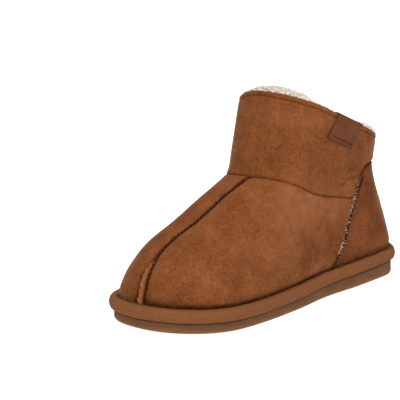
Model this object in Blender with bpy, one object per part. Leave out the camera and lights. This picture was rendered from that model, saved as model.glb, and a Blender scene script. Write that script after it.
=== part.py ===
"""Left bootie slipper: an ankle-high pull-on of brown suede with a fleece-backed wall, on a
flat platform with a bound edge. Metres, +Z up. The toe points to -Y and the outer side of
the foot to +X. The sole stands on Z = 0, and the origin is under the middle of the sole."""

from math import cos, pi, radians, sin

import bmesh
import bpy
import numpy as np

# Sole
SOLE_LENGTH = 0.262
BALL_WIDTH = 0.101
OUTSOLE_TOE = 0.0077         # thickness under the toes
OUTSOLE_HEEL = 0.0118        # thickness under the heel
OUTSOLE_EDGE = 0.003         # rounding of the lower edge
OUTSOLE_LIP = 0.0007         # step in its side, just under the binding
OUTSOLE_LIP_HEIGHT = 0.0012
TOE_SPRING = 0.0042
ARCH_RISE = 0.0008
BINDING_HEIGHT = 0.0096
BINDING_BULGE = 0.0033       # how far the binding stands out past the outsole
BINDING_WRAP = 0.0025        # how far it reaches in over the platform
INSOLE_THICKNESS = 0.005
INSOLE_EDGE = 0.0015

# Upper, heights above the floor
INSTEP_HEIGHT = 0.0945       # top of the vamp, at the front of the ankle seam
ANKLE_SEAM_BACK = 0.070      # the same seam at the back of the heel
COLLAR_FRONT = 0.158
COLLAR_BACK = 0.107
COLLAR_DIP = 0.006           # how much lower the inner front corner of the collar is
ANKLE_WIDTH = 0.076
WALL = 0.003                 # the hollow upper, with its fleece backing
PANEL = 0.0016               # vamp and cuff panels laid over it
BACK_PANEL = 0.0008          # the heel's panel, which lies lower than its neighbours
SEAM_WIDTH = 0.0046          # raised seam down the middle of the vamp
SEAM_RISE = 0.002
SEAM_OFFSET = -0.0024        # its middle, a little to the inner side
SEAM_GROOVE = 0.0025         # depth of the trough that it lies in
GROOVE_WIDTH = 0.007
SEAM_DRIFT = 0.0045          # how far the seam bears to the outer side at the toe
TAG_WIDTH = 0.0305
TAG_DROP = 0.021             # from the collar's edge down the outside
TAG_TUCK = 0.008             # the end folded down inside
TAG_THICKNESS = 0.0012
TAG_LEAN = 11.0              # degrees that it leans towards the toe
CLEARANCE = 0.0003
SEAT = 0.0005                # under the panels, so that their facets clear the wall

# Half widths of the sole as shares of BALL_WIDTH: station from toe to heel, outer, inner
SOLE_HALVES = [
    (0.00, 0.473, 0.470),
    (0.16, 0.517, 0.486),
    (0.34, 0.523, 0.478),
    (0.60, 0.448, 0.378),
    (0.84, 0.400, 0.372),
    (1.00, 0.350, 0.352),
]
TOE_ROUND = (0.22, 2.27)     # share of the length that the toe's curve takes, and its power
HEEL_ROUND = (0.10, 2.1)
SPRING_STATION = 0.28        # the toe lifts ahead of this station
WEDGE_STATIONS = (0.3, 0.9)  # the outsole thickens between these
ARCH_STATION = 0.6
ARCH_SPREAD = 0.14

# Rings of the last from the sole (ring 0) by the ankle seam (ring 7) to the collar (ring 11).
# reach: how far the ring goes ahead of and behind the middle, as shares of SOLE_LENGTH
# rise: 0 to 1 from the sole to the ankle seam, 1 to 2 from there to the collar
# full: share of the sole's width; ankle: share taken from ANKLE_WIDTH instead
# curve, power: length of the toe's curve as a share of SOLE_LENGTH, and its power
# heel: length of the heel's curve; sag: dip at mid length, as a share of INSTEP_HEIGHT
# cant: slope across the foot; dip: share of COLLAR_DIP
# slim: share of its half width that the inner side lacks
RINGS = [
    # front reach, rise, back reach, rise, full, ankle, curve, power, heel, sag, cant, dip, slim
    (0.477, 0.00, 0.496, 0.00, 0.965, 0.00, 0.206, 2.35, 0.100, 0.000, 0.00, 0.0, 0.03),
    (0.469, 0.16, 0.499, 0.19, 0.975, 0.00, 0.221, 2.30, 0.107, 0.000, 0.00, 0.0, 0.09),
    (0.439, 0.34, 0.492, 0.38, 0.945, 0.05, 0.237, 2.20, 0.110, 0.000, 0.00, 0.0, 0.14),
    (0.386, 0.49, 0.485, 0.54, 0.900, 0.15, 0.237, 2.20, 0.110, 0.010, 0.00, 0.0, 0.15),
    (0.309, 0.60, 0.477, 0.66, 0.880, 0.30, 0.221, 2.25, 0.115, 0.030, 0.00, 0.0, 0.13),
    (0.231, 0.71, 0.467, 0.78, 0.870, 0.50, 0.198, 2.30, 0.115, 0.050, -0.01, 0.0, 0.09),
    (0.141, 0.86, 0.455, 0.89, 0.860, 0.75, 0.172, 2.25, 0.115, 0.072, 0.00, 0.0, 0.05),
    (0.061, 1.00, 0.442, 1.00, 0.860, 1.00, 0.137, 2.10, 0.115, 0.098, 0.02, 0.0, 0.01),
    (0.042, 1.22, 0.429, 1.27, 0.860, 1.00, 0.137, 2.00, 0.122, 0.062, 0.02, 0.0, 0.00),
    (0.029, 1.46, 0.424, 1.54, 0.860, 1.00, 0.137, 2.00, 0.126, 0.030, 0.02, 0.2, 0.00),
    (0.015, 1.73, 0.433, 1.78, 0.860, 1.00, 0.137, 2.00, 0.130, 0.010, 0.03, 0.4, 0.00),
    (0.000, 2.00, 0.441, 2.00, 0.860, 1.00, 0.137, 2.00, 0.130, 0.000, 0.03, 1.0, 0.00),
]
HEEL_POWER = 2.1
DIP_SPREAD = 0.35            # the collar's dip is full at this share of ANKLE_WIDTH
SAG_BACK = 1.4               # above 1, a ring sags further back
ANKLE_RING = 7
COLLAR_RING = 11
SEAT_RINGS = 1.5             # the lowest rings ease down onto the platform over this many

# Seam between vamp and heel panel: ring, and reach behind the middle over SOLE_LENGTH
HEEL_SEAM = [
    (0.0, 0.100), (1.0, 0.143), (2.0, 0.185), (3.0, 0.210), (4.0, 0.223),
    (5.0, 0.232), (6.0, 0.240), (7.0, 0.250), (8.35, 0.288),
]
# Top of the heel panel: place between its two upper corners, and ring
HEEL_TOP = [(0.0, 8.35), (0.05, 8.72), (0.15, 8.96), (0.3, 9.18), (0.5, 9.4)]
# Share of SEAM_DRIFT at a ring
SEAM_WANDER = [(0.0, 1.0), (1.0, 0.85), (2.0, 0.58), (3.0, 0.22), (4.0, 0.0)]
TAG_REACH = 0.2385           # middle of the tag behind the middle, over SOLE_LENGTH

# Mesh fineness
SKIN_TURNS = 72
SOLE_TURNS = 72
UPPER_RINGS = [0, 0.6, 1.2, 2, 3, 4, 5, 6, 6.6, 7, 7.5, 8.2, 9, 9.8, 11]
VAMP_RINGS = [0, 0.6, 1.2, 2, 3, 4, 5, 6, 6.6, 7]
VAMP_COLUMNS = 17
HEEL_COLUMNS = 22
HEEL_RINGS = VAMP_RINGS + [7.4, 7.9]   # and the panel's upper corners, where HEEL_SEAM ends
CUFF_COLUMNS = 21                 # from the front to the heel seam, on each side
CUFF_ROWS = [0, 0.12, 0.4, 0.7, 1]
TAG_COLUMNS = 6
WALK_STEPS = 6

# Colours, linear, with roughness
SUEDE = (0.27, 0.095, 0.032, 1.0)
DARK_SUEDE = (0.19, 0.062, 0.022, 1.0)
FLEECE = (0.62, 0.55, 0.45, 1.0)
TAPE = (0.25, 0.075, 0.028, 1.0)
RUBBER = (0.165, 0.095, 0.055, 1.0)


def natural_curve(places, values, at):
    """Natural cubic spline through values at places, read at any array of places."""
    places = np.asarray(places, float)
    values = np.asarray(values, float)
    at = np.asarray(at, float)
    count = len(places)
    step = np.diff(places)
    matrix = np.zeros((count, count))
    right = np.zeros(count)
    matrix[0, 0] = 1
    matrix[-1, -1] = 1
    for i in range(1, count - 1):
        matrix[i, i - 1:i + 2] = step[i - 1], 2 * (step[i - 1] + step[i]), step[i]
        slopes = np.diff(values[i - 1:i + 2]) / step[i - 1:i + 1]
        right[i] = 6 * (slopes[1] - slopes[0])
    bend = np.linalg.solve(matrix, right)
    i = np.clip(np.searchsorted(places, at) - 1, 0, count - 2)
    t = at - places[i]
    h = step[i]
    first = (values[i + 1] - values[i]) / h - h * (2 * bend[i] + bend[i + 1]) / 6
    return values[i] + t * first + t * t * bend[i] / 2 + t ** 3 * (bend[i + 1] - bend[i]) / (6 * h)


def along_from_turn(turn, power):
    """Share of the way from front to back at a share of a turn round a ring."""
    swing = (1 - np.cos(2 * pi * turn)) / 2
    return swing ** (1 + (power / 2 - 1) * (1 - swing))


def round_ends(along, front, front_power, back, back_power):
    """Share of the full width, falling to nothing at both ends of a ring."""
    nose = np.clip(1 - along / front, 0, 1)
    tail = np.clip(1 - (1 - along) / back, 0, 1)
    return (1 - nose ** front_power) ** (1 / front_power) * (1 - tail ** back_power) ** (1 / back_power)


def is_outer(turn):
    return turn % 1.0 < 0.5


def sole_half(station, turn):
    """Half width of the sole at a station, on the side of that turn."""
    stations = [row[0] for row in SOLE_HALVES]
    outer = natural_curve(stations, [row[1] for row in SOLE_HALVES], station)
    inner = natural_curve(stations, [row[2] for row in SOLE_HALVES], station)
    return np.where(is_outer(turn), outer, inner) * BALL_WIDTH


def station_of(y):
    return np.clip(y / SOLE_LENGTH + 0.5, 0, 1)


def floor_rise(y):
    """Height of the sole's underside: toe spring and a slight arch."""
    station = station_of(y)
    toe = np.clip((SPRING_STATION - station) / SPRING_STATION, 0, 1)
    arch = np.clip(1 - ((station - ARCH_STATION) / ARCH_SPREAD) ** 2, 0, 1)
    return TOE_SPRING * toe ** 2 + ARCH_RISE * arch ** 2


def outsole_top(y):
    wedge = np.interp(station_of(y), WEDGE_STATIONS, (OUTSOLE_TOE, OUTSOLE_HEEL))
    return floor_rise(y) + wedge


def bed(y):
    """Top of the platform, on which the upper and the insole stand."""
    return outsole_top(y) + BINDING_HEIGHT


def sole_outline(inset):
    """The sole's outline moved in by inset, as x and y of SOLE_TURNS points."""
    turn = np.arange(SOLE_TURNS) / SOLE_TURNS
    along = along_from_turn(turn, TOE_ROUND[1])
    side = np.where(is_outer(turn), 1, -1)
    x = side * sole_half(along, turn) * round_ends(along, *TOE_ROUND, *HEEL_ROUND)
    y = (along - 0.5) * SOLE_LENGTH
    tangent = np.stack([np.roll(x, -1) - np.roll(x, 1), np.roll(y, -1) - np.roll(y, 1)])
    tangent /= np.linalg.norm(tangent, axis=0)
    return x - tangent[1] * inset, y + tangent[0] * inset


def ring_sizes(ring):
    """The ring table's columns in metres, read between its rows."""
    rows = np.array(RINGS)
    feather_front = bed(-rows[0, 0] * SOLE_LENGTH)
    feather_back = bed(rows[0, 2] * SOLE_LENGTH)
    table = {
        "front_y": -rows[:, 0] * SOLE_LENGTH,
        "front_z": np.interp(rows[:, 1], (0, 1, 2), (feather_front, INSTEP_HEIGHT, COLLAR_FRONT)),
        "back_y": rows[:, 2] * SOLE_LENGTH,
        "back_z": np.interp(rows[:, 3], (0, 1, 2), (feather_back, ANKLE_SEAM_BACK, COLLAR_BACK)),
        "full": rows[:, 4],
        "ankle": rows[:, 5],
        "curve": rows[:, 6] * SOLE_LENGTH,
        "power": rows[:, 7],
        "heel": rows[:, 8] * SOLE_LENGTH,
        "sag": rows[:, 9] * INSTEP_HEIGHT,
        "cant": rows[:, 10],
        "dip": rows[:, 11] * COLLAR_DIP,
        "slim": rows[:, 12],
    }
    places = np.arange(len(rows))
    return {name: natural_curve(places, column, ring) for name, column in table.items()}


def seam_line(ring):
    """Side place of the middle seam."""
    drift = np.interp(ring, [row[0] for row in SEAM_WANDER], [row[1] for row in SEAM_WANDER])
    return SEAM_OFFSET + SEAM_DRIFT * drift


def skin(turn, ring):
    """The outside of the upper: a point for each turn (0 front, 0.25 outer side) and ring."""
    turn, ring = np.broadcast_arrays(np.asarray(turn, float), np.asarray(ring, float))
    size = ring_sizes(ring)
    length = size["back_y"] - size["front_y"]
    along = along_from_turn(turn, size["power"])
    y = size["front_y"] + length * along
    width = (1 - size["ankle"]) * sole_half(station_of(y), turn) * size["full"]
    width = width + size["ankle"] * ANKLE_WIDTH / 2
    width = width * np.where(is_outer(turn), 1, 1 - size["slim"])
    ends = round_ends(along, size["curve"] / length, size["power"], size["heel"] / length, HEEL_POWER)
    x = np.where(is_outer(turn), 1, -1) * width * ends
    z = size["front_z"] + (size["back_z"] - size["front_z"]) * along
    back_share = along ** SAG_BACK
    z = z - size["sag"] * 4 * back_share * (1 - back_share) + size["cant"] * x
    corner = np.clip(-x / (DIP_SPREAD * ANKLE_WIDTH), 0, 1)
    z = z - size["dip"] * (1 - along) ** 2 * corner ** 2 * (3 - 2 * corner)
    # the trough of the middle seam, sunk forwards at the toe and downwards on the instep
    trough = SEAM_GROOVE * np.exp(-((x - seam_line(ring)) / GROOVE_WIDTH) ** 2) * (along < 0.5)
    trough = trough * np.clip(ANKLE_RING + 0.3 - ring, 0, 1) * np.clip(ring, 0, 1)
    downwards = np.clip((ring - 0.5) / 2.5, 0, 1)
    y = y + trough * (1 - downwards)
    z = z - trough * downwards
    # the lowest ring lies on the platform, and the rings above it are shifted less and less
    lowest = ring_sizes(0.0)
    level = lowest["front_z"] + (lowest["back_z"] - lowest["front_z"]) * along
    seated = np.clip(1 - ring / SEAT_RINGS, 0, 1) ** 2
    z = z + seated * (bed(y) - level)
    return np.stack([x, y, z], -1)


def skin_frame(turn, ring):
    """Directions along the turn and the ring, and the unit normal outwards."""
    small = 0.0005
    around = (skin(turn + small, ring) - skin(turn - small, ring)) / (2 * small)
    up = (skin(turn, ring + small) - skin(turn, ring - small)) / (2 * small)
    normal = np.cross(around, up)
    normal /= np.linalg.norm(normal, axis=-1, keepdims=True)
    return around, up, normal


def layer(turn, ring, height):
    """A point at a height above the skin, standing on the platform where the ring is 0."""
    turn, ring, height = np.broadcast_arrays(turn, ring, height)
    normal = skin_frame(turn, ring)[2]
    points = skin(turn, ring) + normal * height[..., None]
    seat = bed(points[..., 1]) + CLEARANCE
    points[..., 2] = np.where(ring <= 0, seat, points[..., 2])
    return points


def turn_at_reach(reach, ring):
    """Turn on the outer side at which a ring reaches y."""
    turns = np.linspace(0, 0.5, 201)
    return np.interp(reach, skin(turns, ring)[:, 1], turns)


def turn_at_side(x, ring):
    """Turn near the front at which a ring has this x."""
    turns = np.linspace(-0.1, 0.1, 81)
    return np.interp(x, skin(turns, ring)[:, 0], turns)


def ring_gap(turn, ring):
    """Half a clearance, in rings, at this place."""
    up = skin_frame(turn, ring)[1]
    return CLEARANCE / 2 / np.linalg.norm(up, axis=-1)


def turn_gap(turn, ring):
    """Half a clearance, in turns, at this place."""
    around = skin_frame(turn, ring)[0]
    return CLEARANCE / 2 / np.linalg.norm(around, axis=-1)


def heel_seam_turn(ring):
    """Turn of the seam between vamp and heel panel on the outer side."""
    rings = [row[0] for row in HEEL_SEAM]
    reach = natural_curve(rings, [row[1] for row in HEEL_SEAM], ring) * SOLE_LENGTH
    return turn_at_reach(reach, ring)


def heel_top_ring(place):
    """Ring of the heel panel's top edge, place going from 0 to 1 across it."""
    place = np.minimum(place, 1 - place)
    return np.interp(place, [row[0] for row in HEEL_TOP], [row[1] for row in HEEL_TOP])


def heel_edge():
    """Turns and rings along the heel panel's upper edge, from its outer side to its inner."""
    corner = HEEL_SEAM[-1][0]
    rings = [ring for ring in HEEL_RINGS if ring >= ANKLE_RING]
    turns = [float(heel_seam_turn(ring)) for ring in rings]
    left = float(heel_seam_turn(corner))
    place = np.linspace(0, 1, HEEL_COLUMNS + 1)
    other_turns = [1 - turn for turn in reversed(turns)]
    turns = np.array(turns + list(left + (1 - 2 * left) * place) + other_turns)
    rings = np.array(rings + list(heel_top_ring(place)) + rings[::-1])
    return turns, rings


def cuff_foot():
    """Turns and rings of the cuff's lower edge: the ankle seam, then over the heel panel."""
    edge_turns, edge_rings = heel_edge()
    front = np.linspace(0, edge_turns[0], CUFF_COLUMNS + 1)[:-1]
    turns = np.concatenate([front, edge_turns, 1 - front[:0:-1]])
    ankle = np.full(len(front), float(ANKLE_RING))
    return turns, np.concatenate([ankle, edge_rings, ankle[1:]])


def material(name, colour, roughness):
    made = bpy.data.materials.new(name)
    made.use_nodes = True
    shader = made.node_tree.nodes["Principled BSDF"]
    shader.inputs["Base Color"].default_value = colour
    shader.inputs["Roughness"].default_value = roughness
    shader.inputs["Metallic"].default_value = 0.0
    return made


def sole_shift():
    """How far the bound sole's middle lies from the line through the foot."""
    x = sole_outline(-BINDING_BULGE)[0]
    return (x.max() + x.min()) / 2


def make_object(name, points, faces, finish):
    """A named mesh object, moved so that the origin is under the middle of the sole."""
    shift = sole_shift()
    mesh = bpy.data.meshes.new(name)
    mesh.from_pydata([(x - shift, y, z) for x, y, z in points], [], faces)
    work = bmesh.new()
    work.from_mesh(mesh)
    bmesh.ops.triangulate(work, faces=work.faces[:])
    bmesh.ops.recalc_face_normals(work, faces=work.faces[:])
    if work.calc_volume(signed=True) < 0:
        bmesh.ops.reverse_faces(work, faces=work.faces[:])
    work.to_mesh(mesh)
    work.free()
    mesh.shade_smooth()
    mesh.set_sharp_from_angle(angle=pi / 5)
    mesh.materials.append(finish)
    made = bpy.data.objects.new(name, mesh)
    bpy.context.scene.collection.objects.link(made)
    return made


def sheet(name, outside, inside, closed, finish):
    """A wall between two grids of points, rows by columns, closed round the columns or not."""
    rows, columns = outside.shape[:2]
    points = np.concatenate([outside.reshape(-1, 3), inside.reshape(-1, 3)])
    back = rows * columns
    across = columns if closed else columns - 1
    faces = []
    for row in range(rows - 1):
        for column in range(across):
            near = row * columns + column
            next_one = row * columns + (column + 1) % columns
            faces.append((near, next_one, next_one + columns, near + columns))
            faces.append((back + near + columns, back + next_one + columns, back + next_one, back + near))
    for column in range(across):
        for row in (0, rows - 1):
            near = row * columns + column
            next_one = row * columns + (column + 1) % columns
            faces.append((near, back + near, back + next_one, next_one))
    if not closed:
        for row in range(rows - 1):
            for column in (0, columns - 1):
                near = row * columns + column
                above = near + columns
                faces.append((near, above, back + above, back + near))
    return make_object(name, points.tolist(), faces, finish)


def stack_of_rings(name, rings, finish):
    """A solid lofted through rings from the bottom up, closed by strips from side to side."""
    count = len(rings[0])
    points = np.concatenate(rings)
    faces = []
    for level in range(len(rings) - 1):
        for i in range(count):
            near = level * count + i
            next_one = level * count + (i + 1) % count
            faces.append((near, next_one, next_one + count, near + count))
    for base in (0, (len(rings) - 1) * count):
        for i in range(count // 2):
            strip = [base + i, base + i + 1, base + (count - i - 1) % count, base + (count - i) % count]
            faces.append(tuple(dict.fromkeys(strip)))
    return make_object(name, points.tolist(), faces, finish)


def make_outsole():
    rings = []
    for angle in np.linspace(pi / 2, 0, 4):
        x, y = sole_outline(OUTSOLE_EDGE * (1 - np.cos(angle)))
        rings.append(np.stack([x, y, floor_rise(y) + OUTSOLE_EDGE * (1 - np.sin(angle))], -1))
    step = OUTSOLE_LIP_HEIGHT
    for inset, below in ((0, step + OUTSOLE_LIP), (OUTSOLE_LIP, step), (OUTSOLE_LIP, 0)):
        x, y = sole_outline(inset)
        rings.append(np.stack([x, y, outsole_top(y) - below], -1))
    return stack_of_rings("outsole", rings, material("outsole_rubber", RUBBER, 0.75))


def make_midsole():
    x, y = sole_outline(BINDING_WRAP + CLEARANCE)
    rings = [np.stack([x, y, outsole_top(y) + CLEARANCE], -1), np.stack([x, y, bed(y)], -1)]
    return stack_of_rings("midsole", rings, material("platform_foam", RUBBER, 0.8))


def make_binding():
    """The tape round the platform's edge: a bulging strip with a square back."""
    profile = [(-BINDING_WRAP, 1.0)]
    for angle in np.linspace(pi / 2, -pi / 2, 7):
        profile.append((BINDING_BULGE * np.cos(angle) ** 0.7, (1 + np.sin(angle)) / 2))
    profile.append((-BINDING_WRAP, 0.0))
    loops = []
    for out, share in profile:
        x, y = sole_outline(-out)
        low = outsole_top(y) + CLEARANCE
        loops.append(np.stack([x, y, low + share * (bed(y) - low)], -1))
    count = SOLE_TURNS
    faces = []
    for level in range(len(loops)):
        for i in range(count):
            here = level * count
            above = (level + 1) % len(loops) * count
            faces.append((here + i, here + (i + 1) % count, above + (i + 1) % count, above + i))
    finish = material("binding_tape", TAPE, 0.85)
    return make_object("binding", np.concatenate(loops).tolist(), faces, finish)


def make_upper():
    """One hollow wall, open at the collar and underneath."""
    turn = np.arange(SKIN_TURNS) / SKIN_TURNS
    turns, rings = np.meshgrid(turn, UPPER_RINGS)
    outside = layer(turns, rings, -PANEL - SEAT)
    inside = layer(turns, rings, -PANEL - SEAT - WALL)
    return sheet("upper", outside, inside, True, material("fleece_wall", FLEECE, 0.95))


def make_insole():
    turn = np.arange(SKIN_TURNS) / SKIN_TURNS
    inner = -PANEL - SEAT - WALL - CLEARANCE
    rings = []
    for ring, inset, rise in ((0, 0, 0), (0.4, 0, 1 - INSOLE_EDGE / INSOLE_THICKNESS), (0.4, INSOLE_EDGE, 1)):
        points = layer(turn, ring, inner - inset)
        points[:, 2] = bed(points[:, 1]) + CLEARANCE + rise * INSOLE_THICKNESS
        rings.append(points)
    return stack_of_rings("insole", rings, material("insole_fleece", FLEECE, 0.95))


def make_vamp(name, outer):
    """A side of the vamp, from the middle seam back to the heel seam."""
    side = 1 if outer else -1
    beside = side * (SEAM_WIDTH / 2 + CLEARANCE)
    across = np.linspace(0, 1, VAMP_COLUMNS + 1)
    turns = []
    rings = []
    for ring in VAMP_RINGS:
        front = side * turn_at_side(seam_line(ring) + beside, ring)
        back = heel_seam_turn(ring)
        back = back - turn_gap(back, ring)
        turn = side * (front + (back - front) * across)
        top = ring_gap(turn, ring) if ring == ANKLE_RING else 0
        turns.append(turn)
        rings.append(ring - top + 0 * turn)
    outside = layer(np.array(turns), np.array(rings), 0)
    inside = layer(np.array(turns), np.array(rings), -PANEL)
    return sheet(name, outside, inside, False, material(name + "_suede", SUEDE, 0.9))


def make_heel_panel():
    """The panel round the back of the heel, a rounded shape that rises into the cuff."""
    corner = HEEL_SEAM[-1][0]
    place = np.linspace(0, 1, HEEL_COLUMNS + 1)
    turns = []
    rings = []
    for side_ring in HEEL_RINGS + [corner]:
        up = side_ring / corner
        left = heel_seam_turn(side_ring)
        left = left + turn_gap(left, side_ring)
        turn = left + (1 - 2 * left) * place
        ring = up * heel_top_ring(place)
        turns.append(turn)
        rings.append(ring - up * ring_gap(turn, ring))
    outside = layer(np.array(turns), np.array(rings), BACK_PANEL - PANEL)
    inside = layer(np.array(turns), np.array(rings), -PANEL)
    return sheet("back_panel", outside, inside, False, material("back_panel_suede", DARK_SUEDE, 0.92))


def make_cuff():
    """The ankle cuff, all round, with its lower edge lifted over the heel panel."""
    turn, foot = cuff_foot()
    foot = foot + 3 * ring_gap(turn, foot)
    rings = foot + (COLLAR_RING - foot) * np.array(CUFF_ROWS)[:, None]
    turns = turn + 0 * rings
    finish = material("cuff_suede", SUEDE, 0.9)
    return sheet("cuff", layer(turns, rings, 0), layer(turns, rings, -PANEL), True, finish)


def make_centre_seam():
    """The raised seam from the toe to the ankle, rounded across."""
    across = np.array([-1, -0.75, 0, 0.75, 1])
    rise = SEAM_RISE * np.sqrt(1 - 0.9 * across ** 4)
    turns = []
    rings = []
    for ring in VAMP_RINGS:
        turn = turn_at_side(seam_line(ring) + across * SEAM_WIDTH / 2, ring)
        top = ring_gap(turn, ring) if ring == ANKLE_RING else 0
        turns.append(turn)
        rings.append(ring - top + 0 * turn)
    outside = layer(np.array(turns), np.array(rings), rise)
    inside = layer(np.array(turns), np.array(rings), -PANEL)
    return sheet("centre_seam", outside, inside, False, material("seam_suede", SUEDE, 0.9))


def walk_down(turn, ring, direction, distance):
    """Goes a distance over the skin in a direction, and returns the turn and ring there."""
    for _ in range(WALK_STEPS):
        around, up, _normal = skin_frame(turn, ring)
        matrix = np.array([[around @ around, around @ up], [around @ up, up @ up]])
        pull = np.array([around @ direction, up @ direction]) * distance / WALK_STEPS
        change = np.linalg.solve(matrix, pull)
        turn = turn + change[0]
        ring = ring + change[1]
    return turn, ring


def make_tag():
    """A leather tag folded over the collar's edge on the outer side."""
    middle = turn_at_reach(TAG_REACH * SOLE_LENGTH, COLLAR_RING)
    around, up, _normal = skin_frame(middle, COLLAR_RING)
    rim = around / np.linalg.norm(around)
    down = -(up - rim * (up @ rim))
    down /= np.linalg.norm(down)
    down = down * cos(radians(TAG_LEAN)) - rim * sin(radians(TAG_LEAN))
    inner = -PANEL - SEAT - WALL - CLEARANCE
    thick = TAG_THICKNESS
    near = [(TAG_DROP, CLEARANCE), (TAG_DROP / 2, CLEARANCE), (0, CLEARANCE), (-CLEARANCE, 0),
            (-CLEARANCE, inner + CLEARANCE), (0, inner), (TAG_TUCK, inner)]
    far = [(TAG_DROP, CLEARANCE + thick), (TAG_DROP / 2, CLEARANCE + thick), (0, CLEARANCE + thick),
           (-CLEARANCE - thick, 0), (-CLEARANCE - thick, inner + CLEARANCE), (0, inner - thick),
           (TAG_TUCK, inner - thick)]
    grids = []
    for path in (far, near):
        rows = []
        for drop, height in path:
            row = []
            for share in np.linspace(-0.5, 0.5, TAG_COLUMNS + 1):
                reach = share * TAG_WIDTH / np.linalg.norm(around)
                turn, ring = walk_down(middle + reach, COLLAR_RING, down, max(drop, 0))
                normal = skin_frame(turn, ring)[2]
                row.append(skin(turn, ring) + normal * height - down * max(-drop, 0))
            rows.append(row)
        grids.append(np.array(rows))
    return sheet("tag", grids[0], grids[1], False, material("tag_leather", DARK_SUEDE, 0.6))


def main():
    for item in list(bpy.data.objects):
        bpy.data.objects.remove(item, do_unlink=True)
    make_outsole()
    make_midsole()
    make_binding()
    make_insole()
    make_upper()
    make_vamp("vamp_lateral", True)
    make_vamp("vamp_medial", False)
    make_heel_panel()
    make_cuff()
    make_centre_seam()
    make_tag()


main()
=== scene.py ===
"""Left bootie slipper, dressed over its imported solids: suede panels with nap and creases, a
fleece lining with curls, herringbone tape round the platform, thread and fuzz at the seams."""

from itertools import product
from math import cos, pi, radians, sin

import bpy
import numpy as np
from mathutils import Matrix, Vector
from mathutils.kdtree import KDTree


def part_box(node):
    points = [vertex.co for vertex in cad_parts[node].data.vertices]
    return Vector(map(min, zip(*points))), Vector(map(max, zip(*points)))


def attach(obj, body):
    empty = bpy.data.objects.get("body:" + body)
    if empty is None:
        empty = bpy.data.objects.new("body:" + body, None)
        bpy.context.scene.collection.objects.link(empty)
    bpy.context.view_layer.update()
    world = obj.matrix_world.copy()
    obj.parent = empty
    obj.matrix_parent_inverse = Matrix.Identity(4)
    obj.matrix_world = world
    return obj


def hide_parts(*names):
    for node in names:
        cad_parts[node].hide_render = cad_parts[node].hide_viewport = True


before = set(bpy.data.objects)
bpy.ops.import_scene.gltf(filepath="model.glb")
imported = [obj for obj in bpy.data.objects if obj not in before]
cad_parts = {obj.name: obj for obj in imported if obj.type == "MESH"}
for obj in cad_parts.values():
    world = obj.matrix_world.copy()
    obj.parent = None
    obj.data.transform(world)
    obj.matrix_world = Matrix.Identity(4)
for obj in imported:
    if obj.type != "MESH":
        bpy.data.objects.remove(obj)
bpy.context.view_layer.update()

# Sizes of the solids, read from the frame
OUTSOLE_LOW, OUTSOLE_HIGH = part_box("outsole")
BINDING_LOW, BINDING_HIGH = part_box("binding")
SOLE_LENGTH = OUTSOLE_HIGH.y - OUTSOLE_LOW.y
BINDING_BULGE = (BINDING_HIGH.y - BINDING_LOW.y - SOLE_LENGTH) / 2

# The last under the sheets: the solids' sizes, with collar, seams and tag nearer to the photo
BALL_WIDTH = 0.101
OUTSOLE_TOE = 0.0077
OUTSOLE_HEEL = 0.0118
TOE_SPRING = 0.0042
ARCH_RISE = 0.0008
BINDING_HEIGHT = 0.0096
BINDING_WRAP = 0.0025
INSOLE_THICKNESS = 0.005
INSTEP_HEIGHT = 0.0945
ANKLE_SEAM_BACK = 0.070
COLLAR_FRONT = 0.1555
COLLAR_BACK = 0.1047
COLLAR_DIP = 0.0025
ANKLE_WIDTH = 0.076
WALL = 0.003
PANEL = 0.0016
BACK_PANEL = 0.0008
SEAM_WIDTH = 0.0058
SEAM_RISE = 0.002
SEAM_OFFSET = -0.0024
SEAM_GROOVE = 0.0025
GROOVE_WIDTH = 0.007
SEAM_DRIFT = 0.0045
TAG_WIDTH = 0.0305
TAG_DROP = 0.021
TAG_TUCK = 0.008
TAG_THICKNESS = 0.0012
TAG_LEAN = 16.0
CLEARANCE = 0.0003

# station from toe to heel, outer half, inner half, as shares of BALL_WIDTH
SOLE_HALVES = [
    (0.00, 0.473, 0.470),
    (0.16, 0.517, 0.486),
    (0.34, 0.523, 0.478),
    (0.60, 0.448, 0.378),
    (0.84, 0.400, 0.372),
    (1.00, 0.350, 0.352),
]
TOE_ROUND = (0.22, 2.27)
HEEL_ROUND = (0.10, 2.1)
SPRING_STATION = 0.28
WEDGE_STATIONS = (0.3, 0.9)
ARCH_STATION = 0.6
ARCH_SPREAD = 0.14

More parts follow.
